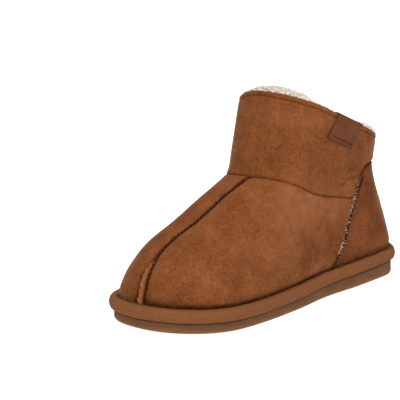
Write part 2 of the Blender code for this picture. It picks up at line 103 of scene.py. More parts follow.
RINGS = [
    # front reach, rise, back reach, rise, full, ankle, curve, power, heel, sag, cant, dip, slim
    (0.477, 0.00, 0.496, 0.00, 0.965, 0.00, 0.206, 2.35, 0.100, 0.000, 0.00, 0.0, 0.03),
    (0.469, 0.16, 0.499, 0.19, 0.975, 0.00, 0.221, 2.30, 0.107, 0.000, 0.00, 0.0, 0.09),
    (0.439, 0.34, 0.492, 0.38, 0.945, 0.05, 0.237, 2.20, 0.110, 0.000, 0.00, 0.0, 0.14),
    (0.386, 0.49, 0.485, 0.54, 0.900, 0.15, 0.237, 2.20, 0.110, 0.010, 0.00, 0.0, 0.15),
    (0.309, 0.60, 0.477, 0.66, 0.880, 0.30, 0.221, 2.25, 0.115, 0.030, 0.00, 0.0, 0.13),
    (0.231, 0.71, 0.467, 0.78, 0.870, 0.50, 0.198, 2.30, 0.115, 0.050, -0.01, 0.0, 0.09),
    (0.141, 0.86, 0.455, 0.89, 0.860, 0.75, 0.172, 2.25, 0.115, 0.086, 0.00, 0.0, 0.05),
    (0.061, 1.00, 0.442, 1.00, 0.860, 1.00, 0.137, 2.10, 0.115, 0.122, 0.02, 0.0, 0.01),
    (0.042, 1.22, 0.429, 1.27, 0.860, 1.00, 0.137, 2.00, 0.122, 0.078, 0.02, 0.0, 0.00),
    (0.029, 1.46, 0.424, 1.54, 0.860, 1.00, 0.137, 2.00, 0.126, 0.030, 0.02, 0.2, 0.00),
    (0.015, 1.73, 0.433, 1.78, 0.860, 1.00, 0.137, 2.00, 0.130, 0.010, 0.03, 0.4, 0.00),
    (0.000, 2.00, 0.441, 2.00, 0.860, 1.00, 0.137, 2.00, 0.130, 0.000, 0.03, 1.0, 0.00),
]
HEEL_POWER = 2.1
DIP_SPREAD = 0.35
SAG_BACK = 1.4
ANKLE_RING = 7
ANKLE_DROOP = 0.24
DROOP_TURN = 0.19
DROOP_SPREAD = 0.05
COLLAR_RING = 11
SEAT_RINGS = 1.5
TROUGH_END = 0.3             # rings past the ankle seam where the middle seam's trough ends
TROUGH_TURN = (0.5, 2.5)     # it is cut backwards up to this ring, and downwards this many rings on

# ring, and the heel seam's place behind the middle as a share of SOLE_LENGTH
HEEL_SEAM = [
    (0.0, 0.100), (1.0, 0.143), (2.0, 0.185), (3.0, 0.210), (4.0, 0.223),
    (5.0, 0.232), (6.0, 0.240), (7.0, 0.250), (8.35, 0.288),
]
HEEL_CORNER = HEEL_SEAM[-1][0]

# share of the way across the heel panel, and the ring of its top edge
HEEL_TOP = [(0.0, 8.35), (0.05, 8.72), (0.15, 8.96), (0.3, 9.18), (0.5, 9.4)]

# ring, and how far the middle seam bears to the outer side there, in SEAM_DRIFT
SEAM_WANDER = [
    (0.0, 1.0), (1.0, 0.85), (2.0, 0.58), (3.0, 0.22), (4.0, 0.0),
    (6.0, 0.0), (6.4, 0.15), (6.7, 0.5), (7.0, 1.1),
]
TAG_REACH = 0.236            # the tag's middle behind the shoe's middle, as a share of SOLE_LENGTH

# Second derivatives of the curves that were read before
CURVES = {}


def curve_bends(places, values):
    """Second derivatives of the natural cubic spline through values at places."""
    count = len(places)
    step = np.diff(places)
    matrix = np.zeros((count, count))
    right = np.zeros(count)
    matrix[0, 0] = 1
    matrix[-1, -1] = 1
    for i in range(1, count - 1):
        matrix[i, i - 1:i + 2] = step[i - 1], 2 * (step[i - 1] + step[i]), step[i]
        slopes = np.diff(values[i - 1:i + 2]) / step[i - 1:i + 1]
        right[i] = 6 * (slopes[1] - slopes[0])
    return np.linalg.solve(matrix, right)


def natural_curve(places, values, at):
    """Natural cubic spline through values at places, read at any array of places."""
    key = (*places, *values)
    if key not in CURVES:
        CURVES[key] = curve_bends(np.array(places, float), np.array(values, float))
    bend = CURVES[key]
    places = np.asarray(places, float)
    values = np.asarray(values, float)
    at = np.asarray(at, float)
    i = np.clip(np.searchsorted(places, at) - 1, 0, len(places) - 2)
    t = at - places[i]
    h = np.diff(places)[i]
    first = (values[i + 1] - values[i]) / h - h * (2 * bend[i] + bend[i + 1]) / 6
    return values[i] + t * first + t * t * bend[i] / 2 + t ** 3 * (bend[i + 1] - bend[i]) / (6 * h)


def read_table(table, at):
    """Reads rows of place and value, straight between one row and the next."""
    return np.interp(at, *zip(*table))


def unit(vectors):
    return vectors / np.linalg.norm(vectors, axis=-1, keepdims=True)


def lengths_along(points):
    """Metres along a line of points, from the first one to each."""
    steps = np.linalg.norm(np.diff(points, axis=0), axis=1)
    return np.concatenate([[0], np.cumsum(steps)])


def along_from_turn(turn, power):
    swing = (1 - np.cos(2 * pi * turn)) / 2
    return swing ** (1 + (power / 2 - 1) * (1 - swing))


def round_ends(along, front, front_power, back, back_power):
    nose = np.clip(1 - along / front, 0, 1)
    tail = np.clip(1 - (1 - along) / back, 0, 1)
    return (1 - nose ** front_power) ** (1 / front_power) * (1 - tail ** back_power) ** (1 / back_power)


def is_outer(turn):
    return turn % 1.0 < 0.5


def sole_half(station, turn):
    stations = [row[0] for row in SOLE_HALVES]
    outer = natural_curve(stations, [row[1] for row in SOLE_HALVES], station)
    inner = natural_curve(stations, [row[2] for row in SOLE_HALVES], station)
    return np.where(is_outer(turn), outer, inner) * BALL_WIDTH


def station_of(y):
    return np.clip(y / SOLE_LENGTH + 0.5, 0, 1)


def floor_rise(y):
    station = station_of(y)
    toe = np.clip((SPRING_STATION - station) / SPRING_STATION, 0, 1)
    arch = np.clip(1 - ((station - ARCH_STATION) / ARCH_SPREAD) ** 2, 0, 1)
    return TOE_SPRING * toe ** 2 + ARCH_RISE * arch ** 2


def outsole_top(y):
    wedge = np.interp(station_of(y), WEDGE_STATIONS, (OUTSOLE_TOE, OUTSOLE_HEEL))
    return floor_rise(y) + wedge


def bed(y):
    return outsole_top(y) + BINDING_HEIGHT


def sole_outline(turn, inset):
    """The sole's outline at any turns, moved in by inset, as x and y in the frame."""
    turn = np.asarray(turn, float)

    def bare(turn):
        turn = turn % 1.0
        along = along_from_turn(turn, TOE_ROUND[1])
        side = np.where(is_outer(turn), 1, -1)
        x = side * sole_half(along, turn) * round_ends(along, *TOE_ROUND, *HEEL_ROUND)
        return np.stack([x, (along - 0.5) * SOLE_LENGTH])

    small = 0.002
    tangent = bare(turn + small) - bare(turn - small)
    tangent /= np.linalg.norm(tangent, axis=0)
    x, y = bare(turn)
    return x - tangent[1] * inset - MIDDLE_SHIFT, y + tangent[0] * inset


def ring_table():
    rows = np.array(RINGS)
    feather_front = bed(-rows[0, 0] * SOLE_LENGTH)
    feather_back = bed(rows[0, 2] * SOLE_LENGTH)
    return {
        "front_y": -rows[:, 0] * SOLE_LENGTH,
        "front_z": np.interp(rows[:, 1], (0, 1, 2), (feather_front, INSTEP_HEIGHT, COLLAR_FRONT)),
        "back_y": rows[:, 2] * SOLE_LENGTH,
        "back_z": np.interp(rows[:, 3], (0, 1, 2), (feather_back, ANKLE_SEAM_BACK, COLLAR_BACK)),
        "full": rows[:, 4],
        "ankle": rows[:, 5],
        "curve": rows[:, 6] * SOLE_LENGTH,
        "power": rows[:, 7],
        "heel": rows[:, 8] * SOLE_LENGTH,
        "sag": rows[:, 9] * INSTEP_HEIGHT,
        "cant": rows[:, 10],
        "dip": rows[:, 11] * COLLAR_DIP,
        "slim": rows[:, 12],
    }


RING_TABLE = ring_table()
RING_PLACES = tuple(range(len(RINGS)))


def ring_sizes(ring):
    return {name: natural_curve(RING_PLACES, column, ring) for name, column in RING_TABLE.items()}


def seam_line(ring):
    """Side place of the middle seam."""
    return SEAM_OFFSET + SEAM_DRIFT * read_table(SEAM_WANDER, ring)


def skin(turn, ring):
    """The outside of the upper in the frame: a point for each turn and ring."""
    turn, ring = np.broadcast_arrays(np.asarray(turn, float), np.asarray(ring, float))
    size = ring_sizes(ring)
    length = size["back_y"] - size["front_y"]
    along = along_from_turn(turn, size["power"])
    y = size["front_y"] + length * along
    width = (1 - size["ankle"]) * sole_half(station_of(y), turn) * size["full"]
    width = width + size["ankle"] * ANKLE_WIDTH / 2
    width = width * np.where(is_outer(turn), 1, 1 - size["slim"])
    ends = round_ends(along, size["curve"] / length, size["power"], size["heel"] / length, HEEL_POWER)
    x = np.where(is_outer(turn), 1, -1) * width * ends
    z = size["front_z"] + (size["back_z"] - size["front_z"]) * along
    back_share = along ** SAG_BACK
    z = z - size["sag"] * 4 * back_share * (1 - back_share) + size["cant"] * x
    corner = np.clip(-x / (DIP_SPREAD * ANKLE_WIDTH), 0, 1)
    z = z - size["dip"] * (1 - along) ** 2 * corner ** 2 * (3 - 2 * corner)
    trough = SEAM_GROOVE * np.exp(-((x - seam_line(ring)) / GROOVE_WIDTH) ** 2) * (along < 0.5)
    trough = trough * np.clip(ANKLE_RING + TROUGH_END - ring, 0, 1) * np.clip(ring, 0, 1)
    downwards = np.clip((ring - TROUGH_TURN[0]) / TROUGH_TURN[1], 0, 1)
    y = y + trough * (1 - downwards)
    z = z - trough * downwards
    lowest = ring_sizes(0.0)
    level = lowest["front_z"] + (lowest["back_z"] - lowest["front_z"]) * along
    seated = np.clip(1 - ring / SEAT_RINGS, 0, 1) ** 2
    z = z + seated * (bed(y) - level)
    return np.stack([x - MIDDLE_SHIFT, y, z], -1)


def skin_frame(turn, ring):
    """Directions along the turn and the ring, and the unit normal outwards."""
    small = 0.0005
    around = (skin(turn + small, ring) - skin(turn - small, ring)) / (2 * small)
    up = (skin(turn, ring + small) - skin(turn, ring - small)) / (2 * small)
    return around, up, unit(np.cross(around, up))


def layer(turn, ring, height):
    """A point at a height above the skin."""
    turn, ring, height = np.broadcast_arrays(turn, ring, height)
    normal = skin_frame(turn, ring)[2]
    return skin(turn, ring) + normal * height[..., None]


def turn_at_reach(reach, ring):
    turns = np.linspace(0, 0.5, 401)
    return np.interp(reach, skin(turns, ring)[:, 1], turns)


def turn_at_side(x, ring):
    turns = np.linspace(-0.1, 0.1, 161)
    return np.interp(x, skin(turns, ring)[:, 0] + MIDDLE_SHIFT, turns)


def ankle_droop(turn):
    """How far the ankle seam hangs below its ring on the outer side, in rings."""
    return ANKLE_DROOP * np.exp(-((turn % 1.0 - DROOP_TURN) / DROOP_SPREAD) ** 2)


def heel_seam_turn(ring):
    rings = [row[0] for row in HEEL_SEAM]
    reach = natural_curve(rings, [row[1] for row in HEEL_SEAM], ring) * SOLE_LENGTH
    return turn_at_reach(reach, ring)


def heel_top_ring(place):
    return read_table(HEEL_TOP, np.minimum(place, 1 - place))


# The frame's middle is that of the tape's outline, which is measured here unshifted
MIDDLE_SHIFT = 0.0
tape_edge = sole_outline(np.linspace(0, 1, 361), -BINDING_BULGE)[0]
MIDDLE_SHIFT = float(tape_edge.max() + tape_edge.min()) / 2


# Noise and distance helpers

def lattice(cells, seed):
    """A fixed random number for each whole cell of a grid."""
    x, y, z = (cells[..., axis].astype(np.int64) for axis in range(3))
    mixed = x * 73856093 ^ y * 19349663 ^ z * 83492791 ^ seed * 2654435761
    mixed = (mixed ^ (mixed >> 13)) * 1274126177 & 0x7FFFFFFF
    return (mixed ^ (mixed >> 16)) % 65536 / 65535.0


def unevenness(points, size, seed):
    """Smooth noise from -1 to 1 whose lumps are about size across."""
    scaled = points / size
    base = np.floor(scaled)
    part = scaled - base
    part = part * part * (3 - 2 * part)
    total = np.zeros(points.shape[:-1])
    for corner in np.ndindex(2, 2, 2):
        weight = np.prod(np.where(np.array(corner), part, 1 - part), axis=-1)
        total += weight * lattice(base + np.array(corner), seed)
    return total * 2 - 1


def smooth_step(value):
    value = np.clip(value, 0, 1)
    return value * value * (3 - 2 * value)


# Modelling helpers

def use(piece):
    bpy.ops.object.select_all(action="DESELECT")
    piece.select_set(True)
    bpy.context.view_layer.objects.active = piece


def named(name):
    piece = bpy.context.object
    piece.name = name
    piece.data.name = name
    return piece


def place_of(piece):
    flat = np.empty(len(piece.data.vertices) * 3)
    piece.data.vertices.foreach_get("co", flat)
    return flat.reshape(-1, 3)


def set_places(piece, points):
    piece.data.vertices.foreach_set("co", np.ascontiguousarray(points, np.float32).ravel())
    piece.data.update()


def set_attribute(piece, name, values):
    attribute = piece.data.attributes.new(name, "FLOAT", "POINT")
    attribute.data.foreach_set("value", np.ascontiguousarray(values, np.float32))


def cut_sheet(name, columns, rows):
    """A flat piece as cut from the hide: its vertices' shares across and up."""
    bpy.ops.object.select_all(action="DESELECT")
    bpy.ops.mesh.primitive_grid_add(x_subdivisions=columns, y_subdivisions=rows, size=1)
    piece = named(name)
    share = place_of(piece)[:, :2] + 0.5
    return piece, share[:, 0], share[:, 1]


def set_sheet_map(piece, across, up):
    """The piece's own map: across and up for every corner, in metres."""
    corners = np.empty(len(piece.data.loops), np.int64)
    piece.data.loops.foreach_get("vertex_index", corners)
    places = np.stack([across[corners], up[corners]], -1)
    piece.data.uv_layers[0].data.foreach_set("uv", places.ravel().astype(np.float32))


def faces_out(piece, centre):
    """Turns the faces round if they look towards the centre."""
    mesh = piece.data
    normals = np.empty(len(mesh.polygons) * 3)
    middles = np.empty(len(mesh.polygons) * 3)
    mesh.polygons.foreach_get("normal", normals)
    mesh.polygons.foreach_get("center", middles)
    outward = (normals.reshape(-1, 3) * (middles.reshape(-1, 3) - np.array(centre))).sum()
    if outward < 0:
        use(piece)
        bpy.ops.object.mode_set(mode="EDIT")
        bpy.ops.mesh.select_all(action="SELECT")
        bpy.ops.mesh.flip_normals()
        bpy.ops.object.mode_set(mode="OBJECT")


def join_ends(piece):
    """Merges the first and last column of a sheet that goes all the way round."""
    use(piece)
    bpy.ops.object.mode_set(mode="EDIT")
    bpy.ops.mesh.select_all(action="SELECT")
    bpy.ops.mesh.remove_doubles(threshold=0.00001)
    bpy.ops.object.mode_set(mode="OBJECT")


def thicken(piece, thickness, offset=-1.0):
    use(piece)
    wall = piece.modifiers.new("wall", "SOLIDIFY")
    wall.thickness = thickness
    wall.offset = offset
    wall.use_rim = True
    bpy.ops.object.modifier_apply(modifier="wall")


def finish_piece(piece, finish, slot, *nodes, angle=40):
    use(piece)
    bpy.ops.object.shade_smooth_by_angle(angle=radians(angle))
    piece.data.materials.clear()
    piece.data.materials.append(finish)
    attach(piece, "root")
    if nodes:
        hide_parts(*nodes)


def piece_from(name, points, faces):
    mesh = bpy.data.meshes.new(name)
    mesh.from_pydata(points.tolist(), [], faces)
    piece = bpy.data.objects.new(name, mesh)
    bpy.context.scene.collection.objects.link(piece)
    return piece


def piece_of_copies(name, placed, shape_faces, finish, slot):
    """One piece from many copies of a small shape, given as the points of each copy."""
    faces = []
    for i, points in enumerate(placed):
        faces += [tuple(corner + i * len(points) for corner in face) for face in shape_faces]
    finish_piece(piece_from(name, np.concatenate(placed), faces), finish, slot, angle=180)


# Materials

class Nodes:
    """A material's nodes, added by short calls."""

    def __init__(self, name):
        self.material = bpy.data.materials.new(name)
        self.material.use_nodes = True
        self.tree = self.material.node_tree
        self.shader = self.tree.nodes["Principled BSDF"]

    def put(self, value, socket):
        """Links a socket to another one, or sets its number, direction or colour."""
        if isinstance(value, bpy.types.NodeSocket):
            self.tree.links.new(value, socket)
        elif isinstance(value, tuple) and len(value) < len(socket.default_value):
            socket.default_value = (*value, 1.0)
        else:
            socket.default_value = value

    def add(self, kind, **values):
        node = self.tree.nodes.new(kind)
        for key, value in values.items():
            if hasattr(node, key):
                setattr(node, key, value)
            else:
                self.put(value, node.inputs[key.replace("_", " ")])
        return node

    def surface(self, **values):
        for key, value in values.items():
            self.put(value, self.shader.inputs[key.replace("_", " ")])

    def noise(self, vector, scale, detail=2.0, roughness=0.5, distortion=0.0):
        node = self.add("ShaderNodeTexNoise", Vector=vector, Scale=scale, Detail=detail)
        self.put(roughness, node.inputs["Roughness"])
        self.put(distortion, node.inputs["Distortion"])
        return node.outputs["Fac"]

    def ramp(self, value, stops):
        node = self.add("ShaderNodeValToRGB", Fac=value)
        while len(node.color_ramp.elements) < len(stops):
            node.color_ramp.elements.new(0.5)
        for element, (place, colour) in zip(node.color_ramp.elements, stops):
            element.position = place
            element.color = (*colour, 1.0)
        return node.outputs["Color"]

    def greys(self, value, start, dark, end, light):
        """A grey that goes from dark to light while the value goes from start to end."""
        return self.ramp(value, [(start, (dark,) * 3), (end, (light,) * 3)])

    def mix(self, kind, factor, first, second):
        node = self.add("ShaderNodeMix", data_type="RGBA", blend_type=kind)
        for value, place in ((factor, "Factor"), (first, 6), (second, 7)):
            self.put(value, node.inputs[place])
        return node.outputs[2]

    def math(self, kind, first, second=0.0, clamp=False):
        node = self.add("ShaderNodeMath", operation=kind, use_clamp=clamp)
        self.put(first, node.inputs[0])
        self.put(second, node.inputs[1])
        return node.outputs[0]

    def bump(self, height, strength, distance, before=None):
        node = self.add("ShaderNodeBump", Strength=strength, Distance=distance, Height=height)
        if before is not None:
            self.put(before, node.inputs["Normal"])
        return node.outputs["Normal"]

    def parts(self, vector):
        return self.add("ShaderNodeSeparateXYZ", Vector=vector).outputs

    def attribute(self, name):
        return self.add("ShaderNodeAttribute", attribute_name=name).outputs["Fac"]

    def object_place(self, stretch=(1, 1, 1), turn=(0, 0, 0)):
        source = self.add("ShaderNodeTexCoord").outputs["Object"]
        return self.add("ShaderNodeMapping", Scale=stretch, Rotation=turn, Vector=source).outputs["Vector"]


def suede(name, dark, middle, light):
    """Brushed suede: soft cloudy nap marks, a fine mottled grain, darker with stains and with painted
    shade at seams, folds and the tape's edge, lighter with rubs of the nap and painted highlights."""
    n = Nodes(name)
    place = n.object_place()
    clouds = n.noise(place, 42, 3.0, 0.6, 0.15)
    brushed = n.object_place((1.0, 0.7, 1.0), (0.4, 0.2, 0.5))
    patches = n.noise(brushed, 165, 3.0, 0.65, 0.3)
    mottle = n.noise(place, 480, 3.0, 0.7)
    grain = n.noise(place, 1150, 2.0, 0.7)
    cloudy = n.ramp(clouds, [(0.34, dark), (0.52, middle), (0.68, light)])
    patched = n.mix("SOFT_LIGHT", 0.32, cloudy, n.greys(patches, 0.34, 0.30, 0.66, 0.70))
    mottled = n.mix("OVERLAY", 0.42, patched, n.greys(mottle, 0.34, 0.24, 0.66, 0.76))
    grained = n.mix("OVERLAY", 0.40, mottled, n.greys(grain, 0.32, 0.26, 0.68, 0.74))
    # Lighter tone for rubs of the nap and for painted highlights, such as the bands below the cuff.
    rub_and_highlight_tone = tuple(1.30 * part + 0.010 for part in light)
    rubbed_and_lit = n.mix("MIX", n.attribute("rub"), grained, rub_and_highlight_tone)
    # Darker with painted shade at seams, folds and the tape's edge, and with stains.
    shaded_and_stained = n.mix("MULTIPLY", n.attribute("pinch"), rubbed_and_lit, (0.22, 0.15, 0.13))
    n.surface(Base_Color=shaded_and_stained, Roughness=0.95, Specular_IOR_Level=0.08)
    n.surface(Sheen_Weight=0.14, Sheen_Roughness=0.35, Sheen_Tint=(0.95, 0.60, 0.42))
    broad = n.bump(patches, 0.25, 0.0007)
    nap = n.bump(mottle, 0.55, 0.00045, broad)
    n.surface(Normal=n.bump(grain, 0.55, 0.00025, nap))
    return n.material


def fleece(name, dark, light):
    """Curly pile, with painted shade in the creases between its curls."""
    n = Nodes(name)
    place = n.object_place()
    clumps = n.noise(place, 420, 3.0, 0.6, 1.0)
    fibres = n.noise(place, 1900, 2.0, 0.7, 2.0)
    tone = n.ramp(clumps, [(0.25, dark), (0.62, light)])
    # Painted shade in the creases between the curls.
    deep = n.mix("MULTIPLY", n.attribute("pinch"), tone, (0.50, 0.44, 0.38))
    n.surface(Base_Color=deep, Roughness=0.95, Specular_IOR_Level=0.15)
    n.surface(Sheen_Weight=0.35, Sheen_Roughness=0.6)
    n.surface(Subsurface_Weight=0.15, Subsurface_Radius=(0.004, 0.003, 0.002), Subsurface_Scale=0.6)
    broad = n.bump(clumps, 0.5, 0.0009)
    n.surface(Normal=n.bump(fibres, 0.7, 0.0004, broad))
    return n.material


def herringbone(name, dark, middle, light, worn_tone, outer_wear):
    """Twill tape woven in columns along its length, whose threads lean one way and the other. It is
    worn smoother here and there, and by outer_wear a metre towards the outer side."""
    column = 0.0105
    turning = 0.0109
    pitch = 0.0025
    slope = 1.9
    n = Nodes(name)
    along = n.parts(n.add("ShaderNodeTexCoord").outputs["UV"])
    fold = n.math("PINGPONG", n.math("SUBTRACT", along["Y"], turning), column)
    slant = n.math("ADD", along["X"], n.math("MULTIPLY", fold, slope))
    ridge = n.math("MULTIPLY", n.math("PINGPONG", slant, pitch / 2), 2 / pitch)
    place = n.object_place()
    worn = n.noise(place, 38, 3.0, 0.6, 0.4)
    fibre = n.noise(place, 1300, 2.0, 0.7)
    tone = n.ramp(ridge, [(0.12, dark), (0.48, middle), (0.90, light)])
    worn_outside = n.math("MULTIPLY", n.parts(place)["X"], outer_wear)
    worn_patches = n.math("MULTIPLY", n.math("SUBTRACT", worn, 0.32), 1.6)
    plain = n.mix("MIX", n.math("ADD", worn_patches, worn_outside, clamp=True), tone, worn_tone)
    fibrous = n.mix("OVERLAY", 0.45, plain, n.greys(fibre, 0.3, 0.28, 0.7, 0.72))
    # Painted shade along the tape's edges.
    shaded_and_stained = n.mix("MULTIPLY", n.attribute("pinch"), fibrous, (0.20, 0.14, 0.12))
    n.surface(Base_Color=shaded_and_stained, Roughness=0.92, Specular_IOR_Level=0.06)
    woven = n.bump(ridge, 0.9, 0.0004)
    n.surface(Normal=n.bump(fibre, 0.35, 0.00012, woven))
    return n.material


def moulded_rubber(name, dark, middle, light, warm):
    """Stained and streaked rubber with fine pores, of a warmer, lighter tone towards the bottom of its
    side and underneath.
    """
    n = Nodes(name)
    stains = n.noise(n.object_place((1, 1, 3)), 45, 4.0, 0.6, 0.8)
    streaks = n.noise(n.object_place((1, 1, 6)), 60, 3.0, 0.7, 0.5)
    pores = n.noise(n.object_place(), 900, 3.0, 0.7)
    tone = n.ramp(stains, [(0.3, dark), (0.55, middle), (0.75, light)])
    edged = n.mix("MIX", n.attribute("warm"), tone, warm)
    streaked = n.mix("OVERLAY", 0.35, edged, n.greys(streaks, 0.34, 0.30, 0.66, 0.70))
    porous = n.mix("OVERLAY", 0.3, streaked, n.greys(pores, 0.3, 0.32, 0.7, 0.68))
    n.surface(Base_Color=porous, Roughness=n.greys(stains, 0.3, 0.70, 0.8, 0.85))
    n.surface(Specular_IOR_Level=0.12, Normal=n.bump(pores, 0.35, 0.0002))
    return n.material


def pressed_leather(name, dark, light):
    """Smooth leather with a fine cell grain, darker in its pressed line and at its edges: partly its own
    pressed tone, partly painted shade where the surface sinks.
    """
    n = Nodes(name)
    place = n.object_place()
    clouds = n.noise(place, 90, 3.0, 0.5)
    grain = n.add("ShaderNodeTexVoronoi", Scale=1300, Vector=place).outputs["Distance"]
    tone = n.ramp(clouds, [(0.3, dark), (0.7, light)])
    grained = n.mix("MULTIPLY", 0.35, tone, n.greys(grain, 0.0, 0.7, 0.6, 1.0))
    shaded_and_stained = n.mix("MULTIPLY", n.attribute("pinch"), grained, (0.35, 0.28, 0.25))
    n.surface(Base_Color=shaded_and_stained, Roughness=0.72, Specular_IOR_Level=0.14)
    n.surface(Normal=n.bump(grain, 0.3, 0.00015))
    return n.material


def thread(name, colour):
    """Dull fibre, mottled up to a lighter tone of its colour."""
    n = Nodes(name)
    twist = n.noise(n.object_place(), 2500, 1.0, 0.5)
    lighter = tuple(1.6 * part for part in colour)
    n.surface(Base_Color=n.ramp(twist, [(0.3, colour), (0.7, lighter)]))
    n.surface(Roughness=0.95, Specular_IOR_Level=0.04, Normal=n.bump(twist, 0.4, 0.0001))
    return n.material


SUEDE = suede("suede", (0.132, 0.039, 0.0105), (0.160, 0.050, 0.014), (0.182, 0.060, 0.018))
BACK_SUEDE = suede("back_suede", (0.100, 0.027, 0.0072), (0.126, 0.0365, 0.0103), (0.152, 0.0465, 0.0137))
FLEECE = fleece("fleece", (0.36, 0.30, 0.24), (0.64, 0.575, 0.50))
EDGE_FLEECE = fleece("edge_fleece", (0.120, 0.062, 0.033), (0.350, 0.210, 0.133))
TAPE = herringbone(
    "herringbone_tape",
    dark=(0.062, 0.019, 0.006),
    middle=(0.176, 0.060, 0.021),
    light=(0.345, 0.140, 0.058),
    worn_tone=(0.172, 0.064, 0.024),
    outer_wear=14,
)
RUBBER = moulded_rubber(
    "outsole_rubber",
    dark=(0.105, 0.046, 0.019),
    middle=(0.130, 0.058, 0.025),
    light=(0.152, 0.069, 0.030),
    warm=(0.190, 0.078, 0.026),
)
LEATHER = pressed_leather("tag_leather", (0.086, 0.024, 0.0075), (0.126, 0.037, 0.0125))
THREAD = thread("dark_thread", (0.030, 0.0085, 0.0035))
# Dark cloth on the platform, painted as the shade in the gap between tape and upper.
PLATFORM_SHADE = thread("platform_painted_shade", (0.080, 0.025, 0.0095))
PALE_FUZZ = thread("pale_suede_fuzz", (0.30, 0.125, 0.055))
# Dark nap hairs, darker than the suede: real loose nap whose tone also paints shade.
SHADE_FUZZ = thread("suede_fuzz_and_shade", (0.060, 0.018, 0.006))
LIGHT_FUZZ = thread("light_suede_fuzz", (0.165, 0.056, 0.019))


# Relief of the suede, in metres over the skin

LOWER_TUCK = 0.0014          # the suede turns in just above the tape
SEAM_DIP = 0.0012            # and sinks beside a stitched seam
STITCH_PITCH = 0.0036
RIDGE_TWIST = 0.0054
MERGE_RINGS = (1.3, 3.1)     # between these the raised seam runs into the inner side

# Soft folds: side (1 outer, -1 inner), ends in side view as (y, z), depth and half width
FOLDS = [
    (1, (0.072, 0.086), (0.046, 0.079), 0.0012, 0.0024),
    (1, (0.074, 0.092), (0.058, 0.090), 0.0008, 0.0021),
    (1, (0.030, 0.070), (0.060, 0.090), 0.0006, 0.0060),
    (1, (0.014, 0.025), (0.036, 0.046), 0.0007, 0.0060),
    (1, (-0.030, 0.086), (0.012, 0.078), 0.0006, 0.0060),
    (1, (-0.060, 0.040), (-0.030, 0.055), 0.0005, 0.0080),
    (1, (-0.006, 0.104), (0.030, 0.097), 0.0006, 0.0070),
    (1, (0.020, 0.128), (0.048, 0.110), 0.0005, 0.0070),
    (1, (0.086, 0.060), (0.100, 0.030), 0.0008, 0.0040),
    (-1, (0.040, 0.080), (0.076, 0.092), 0.0011, 0.0028),
    (-1, (0.050, 0.074), (0.072, 0.083), 0.0007, 0.0022),
    (-1, (-0.030, 0.074), (0.010, 0.070), 0.0008, 0.0060),
    (-1, (0.015, 0.040), (0.033, 0.058), 0.0007, 0.0050),
    (-1, (0.086, 0.060), (0.100, 0.030), 0.0008, 0.0040),
]

# Marks on the nap: side, ends, half width, strength. Positive ones are rubs and painted highlights,
# such as the bands below the cuff; negative ones are stains, and in the first three rows painted shade in
# folds.
MARKS = [
    (1, (0.072, 0.086), (0.046, 0.079), 0.0011, -0.34),
    (1, (0.074, 0.092), (0.058, 0.090), 0.0010, -0.20),
    (-1, (0.040, 0.080), (0.076, 0.092), 0.0011, -0.25),
    (1, (0.004, 0.034), (0.036, 0.036), 0.0140, -0.24),
    (1, (0.062, 0.094), (0.080, 0.112), 0.0090, -0.22),
    (1, (0.022, 0.122), (0.034, 0.116), 0.0018, -0.30),
    (1, (0.022, 0.030), (0.002, 0.024), 0.0026, 0.40),
    (1, (0.000, 0.036), (0.012, 0.044), 0.0080, -0.16),
    (1, (-0.085, 0.045), (-0.078, 0.038), 0.0090, -0.14),
    (1, (-0.006, 0.082), (0.040, 0.064), 0.0110, 0.42),
    (1, (-0.020, 0.066), (0.014, 0.070), 0.0110, 0.42),
    (1, (-0.060, 0.050), (-0.020, 0.050), 0.0120, 0.12),
    (1, (0.000, 0.140), (0.030, 0.132), 0.0080, 0.22),
    (-1, (-0.020, 0.074), (0.030, 0.060), 0.0120, 0.10),
]


def beside_stroke(points, side, start, end):
    """Share along a stroke on one side of the foot, distance from it, and how far on that side."""
    start = np.array(start)
    run = np.array(end) - start
    there = points[:, 1:] - start
    share = np.clip(there @ run / (run @ run), 0, 1)
    away = np.linalg.norm(there - share[:, None] * run, axis=1)
    return share, away, smooth_step(side * points[:, 0] / 0.012)


def folds(points):
    """Depth of the listed folds at each point."""
    depth = np.zeros(len(points))
    for side, start, end, deep, half in FOLDS:
        share, away, on_side = beside_stroke(points, side, start, end)
        trough = np.exp(-(away / half) ** 2) - 0.45 * np.exp(-((away - 2.1 * half) / half) ** 2)
        depth += deep * trough * np.sin(pi * share) ** 0.5 * on_side
    return depth


def marks(points):
    """Rubs and painted highlights (positive), stains and painted shade (negative) of the nap at each
    point.
    """
    total = np.zeros(len(points))
    for side, start, end, half, strength in MARKS:
        _share, away, on_side = beside_stroke(points, side, start, end)
        total += strength * np.exp(-(away / half) ** 2) * on_side
    return total * (1 + 0.5 * unevenness(points, 0.004, 7))


def hand_shape(points):
    """The uneven swell of stretched sheepskin."""
    broad = unevenness(points, 0.034, 1)
    small = unevenness(points, 0.012, 2)
    return 0.00055 * broad + 0.00018 * small


def lower_edge(rise):
    """Relief near the tape, and painted shade where the suede turns in above it, from the height above it.
    """
    tuck = -LOWER_TUCK * np.exp(-(rise / 0.0016) ** 2) + 0.0006 * np.exp(-((rise - 0.006) / 0.004) ** 2)
    return tuck, 0.90 * np.exp(-(rise / 0.0026) ** 2)


def relief(points):
    return hand_shape(points) - folds(points)


def on_suede(turn, ring, height):
    """A point at a height above the dressed suede."""
    turn, ring = np.broadcast_arrays(np.asarray(turn, float), np.asarray(ring, float))
    return layer(turn, ring, height + relief(skin(turn, ring)))


